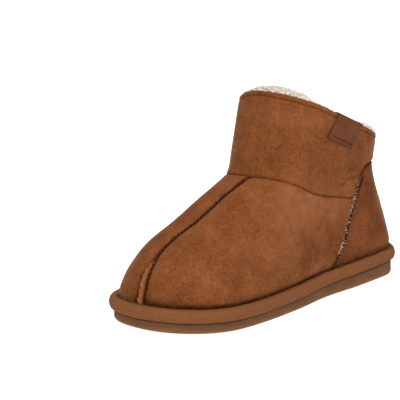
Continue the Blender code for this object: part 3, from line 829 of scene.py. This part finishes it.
def drape(piece, turn, ring, base, beside):
    """Lays a sheet on the last. beside holds (distance, dip, reach, painted shade) for its seams."""
    plain = skin(turn, ring)
    rise = plain[:, 2] - bed(plain[:, 1])
    low_relief, pinch = lower_edge(rise)
    pinch = pinch * (1 - 0.65 * smooth_step(-plain[:, 0] / 0.02) * smooth_step(-plain[:, 1] / 0.06))
    height = base + relief(plain) + low_relief
    for distance, dip, reach, seam_shade in beside:
        near = np.exp(-(distance / reach) ** 2)
        height = height - dip * near
        pinch = np.maximum(pinch, seam_shade * near)
    set_places(piece, layer(turn, ring, height))
    ragged = unevenness(plain, 0.0022, 5)
    mark = marks(plain)
    # Painted shade beside the seams and above the tape, with stains added; then rubs and painted
    # highlights.
    set_attribute(piece, "pinch", np.clip(pinch * (1 + 0.45 * ragged) + np.maximum(-mark, 0), 0, 1))
    set_attribute(piece, "rub", np.clip(mark, 0, 0.8))


def ring_distance(turn, ring, to_ring):
    """Metres along the skin from a ring to another one."""
    up = skin_frame(turn, ring)[1]
    return np.abs(to_ring - ring) * np.linalg.norm(up, axis=-1)


def turn_distance(turn, ring, to_turn):
    around = skin_frame(turn, ring)[0]
    return np.abs(to_turn - turn) * np.linalg.norm(around, axis=-1)


def read_rings(ring, function, steps=60, top=ANKLE_RING):
    """Values of a function of the ring, read at many rings through a fine table."""
    table = np.linspace(0, top, steps)
    return np.interp(ring, table, [float(function(one)) for one in table])


# Pieces

def merged(ring):
    """How far the raised seam has run into the inner side at a ring, 0 to 1."""
    start, end = MERGE_RINGS
    return smooth_step((ring - start) / (end - start))


def make_vamp(name, outer):
    """A side of the vamp. Above the toe the inner one carries on over the raised seam."""
    side = 1 if outer else -1
    beside = side * (SEAM_WIDTH / 2 + CLEARANCE)
    over = 0 if outer else SEAM_WIDTH + CLEARANCE
    piece, across, up = cut_sheet(name + "_suede", 190, 120)
    ring = ANKLE_RING * up

    def front_turn(one):
        return turn_at_side(seam_line(one) + beside + over * merged(one), one)

    front = side * read_rings(ring, front_turn)
    back = read_rings(ring, heel_seam_turn)
    turn = side * (front + (back - front) * across ** 1.15)
    droop = ankle_droop(turn)
    ring = ring - up ** 20 * 0.008 - up ** 4 * droop
    middle = turn_distance(turn, ring, side * front)
    ankle = ring_distance(turn, ring, ANKLE_RING - droop)
    heel = turn_distance(turn, ring, side * back)
    tick = np.cos(2 * pi * middle_run(ring) / STITCH_PITCH)
    pull = 0.70 + 0.30 * tick
    # The last number of each seam darkens the suede beside it, as painted shade.
    seams = [
        (ankle, 0.0008, 0.0009, 0.62),
        (heel, -0.0005, 0.0015, 0.20),
    ]
    base = 0.0
    if outer:
        seams.append((middle, SEAM_DIP * pull, 0.0015 + 0.0005 * tick, 0.55 + 0.35 * tick))
    else:
        joined = merged(ring)
        seams.append((middle, SEAM_DIP * pull * (1 - joined), 0.0016, 0.75 * (1 - joined)))
        seams.append((middle, 0.0, 0.0007, 0.6 * joined))
        edge = np.clip(middle / 0.0016, 0, 1)
        crown = np.sqrt(np.clip(1 - (1 - edge) ** 2.2, 0, 1))
        ease = np.exp(-(np.clip(middle - 0.003, 0, 1) / 0.006) ** 2)
        base = joined * (SEAM_RISE * ease * crown - PANEL * (1 - crown) * 0.9)
    drape(piece, turn, ring, base, seams)
    faces_out(piece, (0, -0.02, 0.03))
    thicken(piece, PANEL)
    finish_piece(piece, SUEDE, "suede", name)


def middle_run(ring):
    """Metres up the middle seam to each ring."""
    table = np.linspace(0, ANKLE_RING, 160)
    turns = np.array([float(turn_at_side(seam_line(one), one)) for one in table])
    return np.interp(ring, table, lengths_along(skin(turns, table)))


def cuff_foot_table():
    """Turns and rings along the cuff's lower edge."""
    side_rings = np.linspace(ANKLE_RING, HEEL_CORNER, 12)
    side_turns = [float(heel_seam_turn(ring)) for ring in side_rings]
    left = side_turns[-1]
    place = np.linspace(0, 1, 60)[1:-1]
    turns = [0.0] + side_turns + list(left + (1 - 2 * left) * place)
    rings = [float(ANKLE_RING)] + list(side_rings) + list(heel_top_ring(place))
    turns += [1 - turn for turn in reversed(side_turns)] + [1.0]
    rings += list(side_rings[::-1]) + [float(ANKLE_RING)]
    return turns, rings


def make_cuff():
    piece, across, up = cut_sheet("cuff_suede", 310, 78)
    turn = across
    foot = np.interp(turn, *cuff_foot_table())
    foot = foot - np.where(foot < ANKLE_RING + 0.01, ankle_droop(turn), 0)
    foot = foot + np.where(foot > ANKLE_RING + 0.02, 0.03, 0.004)
    ring = foot + (COLLAR_RING - foot) * up
    low = ring_distance(turn, ring, foot)
    top = ring_distance(turn, ring, COLLAR_RING)
    over_heel = (foot > ANKLE_RING + 0.1)
    dip = np.where(over_heel, 0.0011, 0.0008)
    # The last number of each seam darkens the suede beside it, as painted shade.
    seams = [
        (low, dip, 0.0012, np.where(over_heel, 0.45, 0.62)),
        (top - 0.0035, 0.0005, 0.0009, 0.28),
        (top, 0.0006, 0.0009, 0.15),
    ]
    drape(piece, turn, ring, 0.0, seams)
    join_ends(piece)
    faces_out(piece, (0, 0.05, 0.10))
    thicken(piece, PANEL)
    finish_piece(piece, SUEDE, "suede", "cuff")


def make_back_panel():
    piece, across, up = cut_sheet("back_panel_suede", 130, 90)
    side_ring = HEEL_CORNER * up
    left = read_rings(side_ring, heel_seam_turn, top=HEEL_CORNER) - 0.008
    turn = left + (1 - 2 * left) * across
    ring = up * (heel_top_ring(across) + 0.12)
    edge = turn_distance(turn, ring, np.where(across < 0.5, left, 1 - left))
    top = ring_distance(turn, ring, heel_top_ring(across))
    # The last number of each seam darkens the suede beside it, as painted shade.
    seams = [
        (edge - 0.0015, 0.0006, 0.0022, 0.60),
        (edge - 0.0062, -0.0006, 0.0020, 0.0),
        (top, 0.0004, 0.0030, 0.60),
    ]
    drape(piece, turn, ring, BACK_PANEL - PANEL, seams)
    faces_out(piece, (0, 0.06, 0.03))
    thicken(piece, BACK_PANEL)
    finish_piece(piece, BACK_SUEDE, "suede_back", "back_panel")


def beside_seam(ring, aside):
    """Turns of the line that keeps a distance aside from the middle seam."""
    return read_rings(ring, lambda one: turn_at_side(seam_line(one) + aside, one), 40)


def make_centre_seam():
    """The two vamp edges sewn back to back: a soft ridge, pulled in between its stitches,
    with painted shade on its flanks and rubs and a painted highlight on its crown.
    """
    piece, across, up = cut_sheet("centre_seam_ridge", 20, 420)
    ring = ANKLE_RING * up * 0.998
    middle = beside_seam(ring, 0)
    outer = beside_seam(ring, SEAM_WIDTH / 2)
    inner = beside_seam(ring, -SEAM_WIDTH / 2)
    sideways = (across * 2 - 1) * 1.3
    turn = middle + np.where(sideways > 0, outer - middle, middle - inner) * sideways
    sideways = np.clip(sideways, -1, 1)
    plain = skin(turn, ring)
    pull = 0.5 + 0.5 * np.cos(2 * pi * middle_run(ring) / STITCH_PITCH)
    lumps = unevenness(plain, 0.0034, 9)
    twist = np.sin(2 * pi * middle_run(ring) / RIDGE_TWIST + 2.2 * sideways)
    crown = np.sqrt(np.clip(1 - np.abs(sideways) ** 2.6, 0, 1))
    joined = merged(ring)
    height = -PANEL + (PANEL + SEAM_RISE) * crown * (1 - joined) - 0.0006 * joined
    pulled = 0.0005 * pull * np.abs(sideways) ** 1.5
    knobbly = (0.00095 * lumps + 0.00030 * twist) * crown
    height = height - (pulled - knobbly) * (1 - joined)
    set_places(piece, layer(turn, ring, height + relief(plain)))
    # Painted shade on the ridge's flanks and between its stitches.
    set_attribute(piece, "pinch", np.clip(0.9 * np.abs(sideways) ** 6 + 0.08 * pull, 0, 1))
    # The crown is lighter: rubbed nap with a painted highlight.
    rubbed_and_lit = np.clip(crown ** 2 * (0.85 + 0.6 * lumps + 0.25 * twist), 0, 1)
    set_attribute(piece, "rub", rubbed_and_lit * (1 - joined))
    faces_out(piece, (0, -0.05, 0.02))
    thicken(piece, 0.0006)
    finish_piece(piece, SUEDE, "suede", "centre_seam", angle=60)


TAPE_WIDTH = 0.0155
TAPE_TUCK = 0.12             # share of the width that turns in at each edge


def make_binding():
    """Herringbone tape round the platform's edge, with its own map along and across."""
    columns, rows = 760, 26
    piece, across, up = cut_sheet("herringbone_binding", columns, rows)
    turn = across
    angle = pi / 2 - pi * smooth_step((up - TAPE_TUCK) / (1 - 2 * TAPE_TUCK))
    bulge = BINDING_BULGE * np.cos(angle) ** 0.7
    share = (1 + np.sin(angle)) / 2
    tucked = np.clip(1 - np.minimum(up, 1 - up) / TAPE_TUCK, 0, 1)
    x, y = sole_outline(turn, BINDING_WRAP * tucked - bulge)
    low = outsole_top(y) + CLEARANCE
    z = low + share * (bed(y) - low)
    points = np.stack([x, y, z], -1)
    points[:, 2] += 0.00012 * unevenness(points, 0.018, 4) * (1 - tucked)
    set_places(piece, points)
    edge_turns = np.linspace(0, 1, columns + 1)
    edge = np.stack(sole_outline(edge_turns, 0), -1)
    around = np.interp(across, edge_turns, lengths_along(edge))
    set_sheet_map(piece, around, up * TAPE_WIDTH)
    # Painted shade along the top edge under the suede and in the gap above the outsole.
    upper = 0.25 * smooth_step((up - 0.9) / 0.1)
    lower = 0.9 * (1 - smooth_step(share / 0.05))
    set_attribute(piece, "pinch", np.where(up > 0.5, upper, lower))
    join_ends(piece)
    faces_out(piece, (0, 0, 0.015))
    thicken(piece, 0.0008)
    finish_piece(piece, TAPE, "binding", "binding", angle=60)


TREAD_PITCH = 0.0095
TREAD_DEPTH = 0.0013
TREAD_WAVE = 0.0022          # the grooves swing this far to and fro
TREAD_WAVELENGTH = 0.026


def make_outsole():
    """The outsole: moulded side with a step under the tape, and cross grooves underneath."""
    columns, rows = 120, 440
    piece, across, up = cut_sheet("outsole_with_tread", columns, rows)
    # across wraps the sheet round the section: down the outer side, underneath, up the inner side
    station = np.round(up, 6)
    half_turn = np.arccos(1 - 2 * station) / (2 * pi)
    side = np.where(across < 0.5, 1, -1)
    walk = 1 - np.abs(across * 2 - 1)
    side_share = 0.30            # of the walk to the middle of the underside
    round_from = 0.62            # of the way down the side, where its lower edge turns under
    edge = 0.003
    lip = 0.0005
    on_side = walk < side_share
    drop = np.clip(walk / side_share, 0, 1)
    turn = np.where(side > 0, half_turn, 1 - half_turn)
    y0 = sole_outline(turn, 0)[1]
    top = outsole_top(y0)
    low = floor_rise(y0)
    inset = np.where(drop < 0.07, lip * smooth_step((0.07 - drop) / 0.04), 0)
    fall = np.clip((drop - round_from) / (1 - round_from), 0, 1) * pi / 2
    inset = np.where(drop > 0, inset, BINDING_WRAP + 0.001) + edge * (1 - np.cos(fall))
    straight = top + (low + edge - top) * drop / round_from
    rounded = low + edge * (1 - np.sin(fall))
    z_side = np.where(drop < round_from, straight, rounded)
    xs, ys = sole_outline(turn, inset)
    inner = np.clip((walk - side_share) / (1 - side_share), 0, 1)
    xe, ye = sole_outline(turn, edge)
    xo, yo = sole_outline(1 - turn, edge)
    xm = (xe + xo) / 2
    ym = (ye + yo) / 2
    x = np.where(on_side, xs, xe + (xm - xe) * inner)
    y = np.where(on_side, ys, ye + (ym - ye) * inner)
    z = np.where(on_side, z_side, floor_rise(y))
    from_edge = np.where(on_side, 0, np.hypot(x - xe, y - ye))
    wave = TREAD_WAVE * np.sin(2 * pi * (x + MIDDLE_SHIFT) / TREAD_WAVELENGTH)
    phase = (y + wave) / TREAD_PITCH
    groove = smooth_step((np.cos(2 * pi * phase) - 0.45) / 0.35)
    field = smooth_step((from_edge - 0.007) / 0.0015)
    waist = 1 - smooth_step(1.6 - np.abs(station_of(y) - 0.60) / 0.06)
    z = z + TREAD_DEPTH * groove * field * waist
    set_places(piece, np.stack([x, y, z], -1))
    set_attribute(piece, "warm", np.where(on_side, smooth_step((drop - 0.45) / 0.45), 0.35))
    join_ends(piece)
    faces_out(piece, (0, 0, 0.02))
    finish_piece(piece, RUBBER, "outsole", "outsole", angle=50)


NEIGHBOURS = list(product((-1, 0, 1), repeat=3))


def curl_tree(points, spacing, seed):
    """Middles of the curls, scattered over a surface's points at about one spacing."""
    chooser = np.random.default_rng(seed)
    order = chooser.permutation(len(points))
    tree = {}
    kept = []
    for index in order:
        point = points[index]
        cell = tuple((point // spacing).astype(int))
        near = [tree.get((cell[0] + i, cell[1] + j, cell[2] + k)) for i, j, k in NEIGHBOURS]
        if all(other is None or np.sum((point - other) ** 2) > (0.8 * spacing) ** 2 for other in near):
            tree[cell] = point
            kept.append(point)
    found = KDTree(len(kept))
    for i, point in enumerate(kept):
        found.insert(Vector(point), i)
    found.balance()
    return found, len(kept)


def curl_relief(points, spacing, seed):
    """Rounded curls from 0 in the creases to 1 on their crowns."""
    tree, count = curl_tree(points, spacing, seed)
    sizes = np.random.default_rng(seed + 1).uniform(0.6, 1.0, count)
    relief = np.empty(len(points))
    for i, point in enumerate(points):
        (_, first, d1), (_, _, d2) = tree.find_n(Vector(point), 2)
        gap = (d2 - d1) / spacing
        relief[i] = sizes[first] * min(1.0, 1.6 * gap) ** 0.6
    return relief


PILE = 0.0062
CURL_SPACING = 0.0034
LINING_SHARE = 0.80          # of the sheet's height, below the roll over the collar
FOOTBED_RING = 0.45

# Rise of the fleece over the collar's edge: turn and metres
RIM_RISE = [
    (0.0, 0.0034), (0.05, 0.0054), (0.12, 0.0046), (0.16, 0.0012), (0.27, 0.0002),
    (0.33, 0.0036), (0.42, 0.0036), (0.5, 0.0024), (0.7, 0.0030), (0.85, 0.0016),
    (0.93, 0.0008), (1.0, 0.0030),
]


def make_lining():
    """Fleece all over the inside, rolling over the collar's edge."""
    columns, rows = 280, 96
    piece, across, up = cut_sheet("fleece_lining", columns, rows)
    turn = across
    ring = COLLAR_RING * np.clip(up / LINING_SHARE, 0, 1) ** 0.85
    inner = -PANEL - PILE * np.clip(0.55 + ring / 5, 0, 1)
    over = np.clip((up - LINING_SHARE) / (1 - LINING_SHARE), 0, 1) * pi
    inside = layer(turn, ring, inner)
    _around, above, normal = skin_frame(turn, COLLAR_RING)
    above = unit(above)
    rim = skin(turn, COLLAR_RING)
    middle = -PANEL - PILE / 2 + 0.0004
    reach = PILE / 2 + 0.0004
    outward = normal * (middle - reach * np.cos(over))[:, None]
    upward = above * (read_table(RIM_RISE, turn) * np.sin(over))[:, None]
    on_roll = (up > LINING_SHARE)[:, None]
    points = np.where(on_roll, rim + outward + upward, inside)
    out_in = -skin_frame(turn, ring)[2]
    out_over = above * np.sin(over)[:, None] - normal * np.cos(over)[:, None]
    outwards = np.where(on_roll, out_over, out_in)
    curls = curl_relief(points, CURL_SPACING, 21)
    fine = unevenness(points, 0.0011, 12)
    height = 0.0019 * (curls - 0.5) + 0.0003 * fine
    set_places(piece, points + outwards * height[:, None])
    # Painted shade in the creases between the curls.
    set_attribute(piece, "pinch", np.clip(0.9 - 1.3 * curls, 0, 1))
    join_ends(piece)
    thicken(piece, 0.0008, 1.0)
    finish_piece(piece, FLEECE, "fleece", "upper", angle=180)


def make_footbed():
    columns, rows = 80, 200
    piece, across, up = cut_sheet("fleece_footbed", columns, rows)
    half_turn = np.arccos(1 - 2 * up) / (2 * pi)
    depth = -PANEL - WALL - 0.0002
    outer = layer(half_turn, FOOTBED_RING, depth)
    inner = layer(1 - half_turn, FOOTBED_RING, depth)
    points = outer + (inner - outer) * across[:, None]
    edge = np.minimum(np.linalg.norm(points - outer, axis=1), np.linalg.norm(points - inner, axis=1))
    points[:, 2] = bed(points[:, 1]) + CLEARANCE + INSOLE_THICKNESS
    curls = curl_relief(points, CURL_SPACING, 31)
    points[:, 2] += 0.0013 * (curls - 0.6) + 0.0012 * np.exp(-edge / 0.006)
    set_places(piece, points)
    # Painted shade in the creases between the curls.
    set_attribute(piece, "pinch", np.clip(0.9 - 1.3 * curls, 0, 1))
    join_ends(piece)
    faces_out(piece, (0, 0, -1))
    thicken(piece, INSOLE_THICKNESS * 0.8)
    finish_piece(piece, FLEECE, "fleece", "insole", angle=180)


# Faces of one hair: three corners at its root, its middle and its tip
HAIR_FACES = [
    (level + corner, level + (corner + 1) % 3, level + 3 + (corner + 1) % 3, level + 3 + corner)
    for level in (0, 3)
    for corner in range(3)
] + [(6, 7, 8), (2, 1, 0)]


def strands(name, roots, tips, width, finish, slot, bend=0.25, seed=3):
    """Short hairs as thin three-sided tapers, bent on the way."""
    chooser = np.random.default_rng(seed)
    run = tips - roots
    length = np.linalg.norm(run, axis=1, keepdims=True)
    helper = chooser.normal(size=run.shape)
    side = unit(np.cross(run, helper))
    other = unit(np.cross(run, side))
    rings = []
    for share, thick in ((0.0, 1.0), (0.5, 0.8), (1.0, 0.25)):
        middle = roots + run * share + side * length * bend * sin(pi * share * 0.9)
        for corner in range(3):
            swing = 2 * pi * corner / 3
            rings.append(middle + (side * cos(swing) + other * sin(swing)) * width * thick / 2)
    piece_of_copies(name, np.stack(rings, 1), HAIR_FACES, finish, slot)


def nap_hairs(name, count, rings, length, finish, seed, turns=(0.0, 1.0)):
    """Loose nap where the suede meets the tape."""
    chooser = np.random.default_rng(seed)
    turn = chooser.uniform(*turns, count)
    ring = chooser.uniform(*rings, count)
    around, up, normal = skin_frame(turn, ring)
    roots = layer(turn, ring, -0.0010)
    tufted = 0.5 + 0.5 * unevenness(roots, 0.0025, 14)[:, None]
    falling = chooser.uniform(0.1, 1.3, (count, 1))
    aside = chooser.normal(0, 0.4, (count, 1))
    lean = unit(normal * 0.9 - unit(up) * falling + unit(around) * aside)
    tips = roots + lean * chooser.uniform(*length, (count, 1)) * (0.6 + 0.8 * tufted)
    strands(name, roots, tips, 0.00030, finish, "suede", seed=seed + 1)


def make_lower_fuzz():
    # The dark nap's tone also paints the shade along the suede's lower edge above the tape.
    nap_hairs("dark_nap", 5200, (0.01, 0.20), (0.0012, 0.0028), SHADE_FUZZ, 41)
    nap_hairs("light_nap", 4200, (0.10, 0.36), (0.0012, 0.0026), LIGHT_FUZZ, 43)
    nap_hairs("toe_tufts", 700, (0.08, 0.50), (0.0016, 0.0034), PALE_FUZZ, 45, turns=(0.90, 0.985))


def heel_edge_path():
    """Turns and rings up the heel seam on the outer side and over to the inner side."""
    rings = np.linspace(0.25, HEEL_CORNER, 90)
    turns = np.array([float(heel_seam_turn(ring)) for ring in rings])
    left = turns[-1]
    place = np.linspace(0, 1, 90)
    turns = np.concatenate([turns, left + (1 - 2 * left) * place[1:], 1 - turns[::-1][1:]])
    rings = np.concatenate([rings, heel_top_ring(place[1:]), rings[::-1][1:]])
    return turns, rings


def even_places(turns, rings, pitch):
    """Turn and ring at even steps of pitch along a path on the skin."""
    points = skin(turns, rings)
    run = lengths_along(points)
    steps = np.arange(pitch / 2, run[-1], pitch)
    return np.interp(steps, run, turns), np.interp(steps, run, rings)


# How much of the fleece edge shows at each ring up the heel seam
HEEL_FLEECE = [
    (0.6, 0.0), (1.1, 1.0), (3.3, 1.0), (4.0, 0.40), (5.6, 0.35),
    (6.3, 0.80), (7.2, 0.60), (7.9, 0.25), (8.3, 0.0),
]
BROWN_HAIRS_TOP = 8.95       # ring up to which brown hairs lie over the seam


def heel_edge_frame(pitch):
    """Places along the heel seam, with the directions along it, towards the panel and outwards."""
    turns, rings = even_places(*heel_edge_path(), pitch)
    points = skin(turns, rings)
    normal = skin_frame(turns, rings)[2]
    ahead = unit(np.gradient(points, axis=0))
    back = -np.cross(normal, ahead)
    height = points[:, 2] - bed(points[:, 1])
    shown = smooth_step((height - 0.003) / 0.012) * read_table(HEEL_FLEECE, rings)
    return turns, rings, ahead, back, normal, shown


def make_heel_fuzz():
    """The raw fleece edge that shows along the heel seam: little curls and loose hairs."""
    chooser = np.random.default_rng(51)
    turns, rings, ahead, back, normal, shown = heel_edge_frame(0.00012)
    count = len(turns)
    tufted = 0.5 + 0.5 * unevenness(skin(turns, rings), 0.0028, 15)
    keep = chooser.uniform(0, 1, count) < shown
    roots = on_suede(turns, rings, chooser.uniform(-0.0012, -0.0002, count)) - back * 0.0004
    lean = back * chooser.uniform(0.4, 1.0, (count, 1)) + normal * chooser.uniform(0.1, 0.9, (count, 1))
    lean = unit(lean + ahead * chooser.normal(0, 0.7, (count, 1)))
    tips = roots + lean * (chooser.uniform(0.0010, 0.0024, count) * (0.6 + 0.8 * tufted))[:, None]
    strands("heel_seam_hairs", roots[keep], tips[keep], 0.00030, EDGE_FLEECE, "fleece", seed=52)
    # Dark hairs over the seam, whose tone also paints the seam's dark line of shade.
    chosen = chooser.uniform(0, 1, count) < np.where(rings > 7.2, 0.9, 0.4)
    above = ~keep & (rings < BROWN_HAIRS_TOP) & chosen
    strands("heel_seam_brown_hairs", roots[above], tips[above], 0.00030, SHADE_FUZZ, "suede", seed=56)

    turns, rings, ahead, back, normal, shown = heel_edge_frame(0.00028)
    count = len(turns)
    patchy = 0.55 + 0.7 * unevenness(skin(turns, rings), 0.0055, 16)
    keep = chooser.uniform(0, 1, count) < shown * patchy
    height = chooser.uniform(-0.0007, 0.0002, count)
    middle = on_suede(turns, rings, height) + back * chooser.uniform(0.0002, 0.0040, (count, 1))
    size = chooser.uniform(0.0008, 0.0018, (count, 3))
    loose_curls("heel_seam_curls", middle[keep], size[keep], EDGE_FLEECE, "fleece", 54)


def loose_curls(name, middles, sizes, finish, slot, seed):
    """Small rounded curls, each turned its own way."""
    chooser = np.random.default_rng(seed)
    shape, shape_faces = rounded_model()
    placed = []
    for middle, size in zip(middles, sizes):
        axis = Vector(chooser.normal(size=3)).normalized()
        swing = np.array(Matrix.Rotation(chooser.uniform(0, 2 * pi), 3, axis))
        placed.append(middle + (shape * size) @ swing.T)
    piece_of_copies(name, placed, shape_faces, finish, slot)


def rounded_model():
    bpy.ops.object.select_all(action="DESELECT")
    bpy.ops.mesh.primitive_uv_sphere_add(segments=8, ring_count=6, radius=0.5)
    model = named("rounded_model")
    shape = place_of(model)
    faces = [tuple(face.vertices) for face in model.data.polygons]
    bpy.data.objects.remove(model)
    return shape, faces


def stitch_row(name, turns, rings, pitch, height, length, width, lean=0.0, off=0.0):
    """A row of thread: one small rounded stitch at each step."""
    shape, shape_faces = rounded_model()
    turn, ring = even_places(turns, rings, pitch)
    middle = on_suede(turn, ring, height)
    normal = skin_frame(turn, ring)[2]
    run = unit(np.gradient(middle, axis=0))
    side = np.cross(normal, run)
    leaning = run * cos(lean) + side * sin(lean)
    sideways = np.cross(normal, leaning)
    axes = np.stack([leaning * length, sideways * width, normal * width], 1)
    placed = (middle + side * off)[:, None] + shape @ axes
    piece_of_copies(name, placed, shape_faces, THREAD, "suede")


HEEL_STITCHED = 89           # places of the heel seam, from the tape up, that are stitched


def make_stitches():
    rings = np.linspace(0.12, ANKLE_RING - 0.1, 80)
    beside = SEAM_WIDTH / 2 + 0.0010
    turns = np.array([float(turn_at_side(seam_line(ring) + beside, ring)) for ring in rings])
    stitch_row("seam_stitches", turns, rings, STITCH_PITCH, 0.0003, 0.0030, 0.0021, lean=0.8)
    turns, rings = heel_edge_path()
    low = slice(0, HEEL_STITCHED)
    sides = (
        ("outer_heel_stitches", turns[low], -0.0034),
        ("inner_heel_stitches", 1 - turns[low], 0.0034),
    )
    for name, side_turns, off in sides:
        stitch_row(name, side_turns, rings[low], 0.0030, -0.0002, 0.0030, 0.0019, lean=-0.5, off=off)
    turns = np.linspace(0.0, 1.0, 400)
    down = ring_step_at_collar(turns, 0.0035)
    stitch_row("collar_stitches", turns, COLLAR_RING - down, 0.0030, -0.0005, 0.0022, 0.0005)


def ring_step_at_collar(turns, distance):
    up = skin_frame(turns, COLLAR_RING - 0.2)[1]
    return distance / np.linalg.norm(up, axis=-1)


def walk_down(turn, ring, direction, distance, steps=6):
    """Goes distances over the skin in a direction, and returns the turns and rings there."""
    turn, ring, distance = np.broadcast_arrays(turn, ring, distance)
    for _ in range(steps):
        around, up, _normal = skin_frame(turn, ring)
        aa = (around * around).sum(axis=-1)
        au = (around * up).sum(axis=-1)
        uu = (up * up).sum(axis=-1)
        pull_around = (around @ direction) * distance / steps
        pull_up = (up @ direction) * distance / steps
        size = aa * uu - au * au
        turn = turn + (pull_around * uu - pull_up * au) / size
        ring = ring + (pull_up * aa - pull_around * au) / size
    return turn, ring


def tag_frame():
    middle = turn_at_reach(TAG_REACH * SOLE_LENGTH, COLLAR_RING)
    around, up, _normal = skin_frame(middle, COLLAR_RING)
    rim = around / np.linalg.norm(around)
    down = -(up - rim * (up @ rim))
    down /= np.linalg.norm(down)
    down = down * cos(radians(TAG_LEAN)) - rim * sin(radians(TAG_LEAN))
    return middle, around, down


def make_tag():
    """The leather tag folded over the collar, with a pressed border and a plain face."""
    middle, around, down = tag_frame()
    columns, rows = 60, 84
    piece, across, up = cut_sheet("folded_tag", columns, rows)
    thick = TAG_THICKNESS
    depth = PILE * 0.75
    over = depth * 1.25
    walk = up * (TAG_DROP + over + TAG_TUCK)
    swing = np.clip((walk - TAG_DROP) / over, 0, 1) * pi
    drop = np.maximum(TAG_DROP - walk, 0) + np.maximum(walk - TAG_DROP - over, 0)
    height = -depth / 2 + (depth / 2 + CLEARANCE + thick) * np.cos(swing)
    lift = 0.0012 * np.sin(swing)
    reach = (across - 0.5) * TAG_WIDTH / np.linalg.norm(around)
    turn, ring = walk_down(middle + reach, COLLAR_RING, down, drop)
    normal = skin_frame(turn, ring)[2]
    border = np.minimum(across, 1 - across) * TAG_WIDTH
    from_edge = np.minimum(border, walk)
    on_face = walk < TAG_DROP
    press = on_face * np.exp(-((walk - 0.0030) / 0.0008) ** 2)
    worn = on_face * np.exp(-(from_edge / 0.0006) ** 2)
    swell = on_face * np.clip(from_edge / 0.004, 0, 1) * np.clip((TAG_DROP - walk) / 0.008, 0, 1)
    height = height - 0.0002 * press - 0.0004 * worn + 0.0004 * swell
    points = skin(turn, ring) + normal * height[:, None] - down * lift[:, None]
    set_places(piece, points)
    # Darker in the pressed line and at the edges: partly the leather's own tone, partly painted shade
    # where the surface sinks.
    set_attribute(piece, "pinch", np.clip(0.25 * press + 0.5 * worn, 0, 1))
    faces_out(piece, (0, 0.06, 0.12))
    thicken(piece, thick)
    finish_piece(piece, LEATHER, "tag", "tag", angle=50)
    steps = np.arange(-TAG_WIDTH / 2 + 0.002, TAG_WIDTH / 2 - 0.001, 0.0026) / np.linalg.norm(around)
    turns, rings = walk_down(middle + steps, COLLAR_RING, down, TAG_DROP - 0.0030)
    stitch_row("tag_stitches", turns, rings, 0.0026, CLEARANCE + thick, 0.0013, 0.0007)


def dress_platform():
    """The platform's hidden core keeps its solid, painted dark as the shade in the gap between tape and
    upper.
    """
    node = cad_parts["midsole"]
    node.data.materials.clear()
    node.data.materials.append(PLATFORM_SHADE)


# Camera, floor and lights

CAMERA_AZIMUTH = 44.5
CAMERA_RISE = 11.6
CAMERA_ROLL = -1.5
CAMERA_DISTANCE = 1.2
PIXELS_PER_METRE = 1330.0    # at the shoe's middle
IMAGE_SIDE = 400.0
SHOE_AT = (259.9, 295.6)     # pixel of the point on the floor under the shoe's middle
SENSOR = 36.0


def make_camera():
    azimuth, rise, roll = (radians(angle) for angle in (CAMERA_AZIMUTH, CAMERA_RISE, CAMERA_ROLL))
    back = Vector((sin(azimuth) * cos(rise), -cos(azimuth) * cos(rise), sin(rise)))
    level = Vector((cos(azimuth), sin(azimuth), 0))
    up = back.cross(level)
    right = level * cos(roll) + up * sin(roll)
    above = up * cos(roll) - level * sin(roll)
    data = bpy.data.cameras.new("camera")
    data.sensor_width = SENSOR
    focal = PIXELS_PER_METRE * CAMERA_DISTANCE
    data.lens = SENSOR * focal / IMAGE_SIDE
    data.clip_start = 0.05
    data.clip_end = 60
    camera = bpy.data.objects.new("camera", data)
    bpy.context.scene.collection.objects.link(camera)
    target = Vector((-MIDDLE_SHIFT, 0, 0))
    across = (SHOE_AT[0] - IMAGE_SIDE / 2) / PIXELS_PER_METRE
    down = (SHOE_AT[1] - IMAGE_SIDE / 2) / PIXELS_PER_METRE
    place = target - right * across + above * down + back * CAMERA_DISTANCE
    camera.matrix_world = Matrix((
        (right.x, above.x, back.x, place.x),
        (right.y, above.y, back.y, place.y),
        (right.z, above.z, back.z, place.z),
        (0, 0, 0, 1),
    ))
    bpy.context.scene.camera = camera


def make_floor():
    bpy.ops.object.select_all(action="DESELECT")
    bpy.ops.mesh.primitive_plane_add(size=30)
    floor = named("studio_floor")
    n = Nodes("floor_paper")
    place = n.object_place()
    paper = n.noise(place, 6, 2.0, 0.5)
    n.surface(Base_Color=n.greys(paper, 0.3, 0.48, 0.7, 0.50), Roughness=0.9, Specular_IOR_Level=0.1)
    n.surface(Emission_Color=(1.0, 1.0, 1.0), Emission_Strength=0.97)
    floor.data.materials.append(n.material)


def add_light(name, place, aim, size, power, colour):
    data = bpy.data.lights.new(name, "AREA")
    data.shape = "DISK"
    data.size = size
    data.energy = power
    data.color = colour
    light = bpy.data.objects.new(name, data)
    light.location = place
    light.rotation_euler = (Vector(place) - Vector(aim)).to_track_quat("Z", "Y").to_euler()
    bpy.context.scene.collection.objects.link(light)


def make_light():
    world = bpy.data.worlds.new("studio")
    bpy.context.scene.world = world
    world.use_nodes = True
    background = world.node_tree.nodes["Background"]
    background.inputs["Color"].default_value = (1.0, 1.0, 1.0, 1.0)
    background.inputs["Strength"].default_value = 0.40
    add_light("overhead", (0.5, -0.2, 1.5), (0, 0, 0.05), 1.2, 24, (1.0, 0.98, 0.96))
    add_light("front_right", (1.1, -1.2, 1.2), (0, 0, 0.07), 0.9, 12, (1.0, 0.98, 0.95))
    bpy.context.scene.view_settings.view_transform = "Standard"


def main():
    make_camera()
    make_outsole()
    dress_platform()
    make_binding()
    make_footbed()
    make_lining()
    make_vamp("vamp_lateral", True)
    make_vamp("vamp_medial", False)
    make_back_panel()
    make_cuff()
    make_centre_seam()
    make_tag()
    make_stitches()
    make_lower_fuzz()
    make_heel_fuzz()
    make_floor()
    make_light()


main()
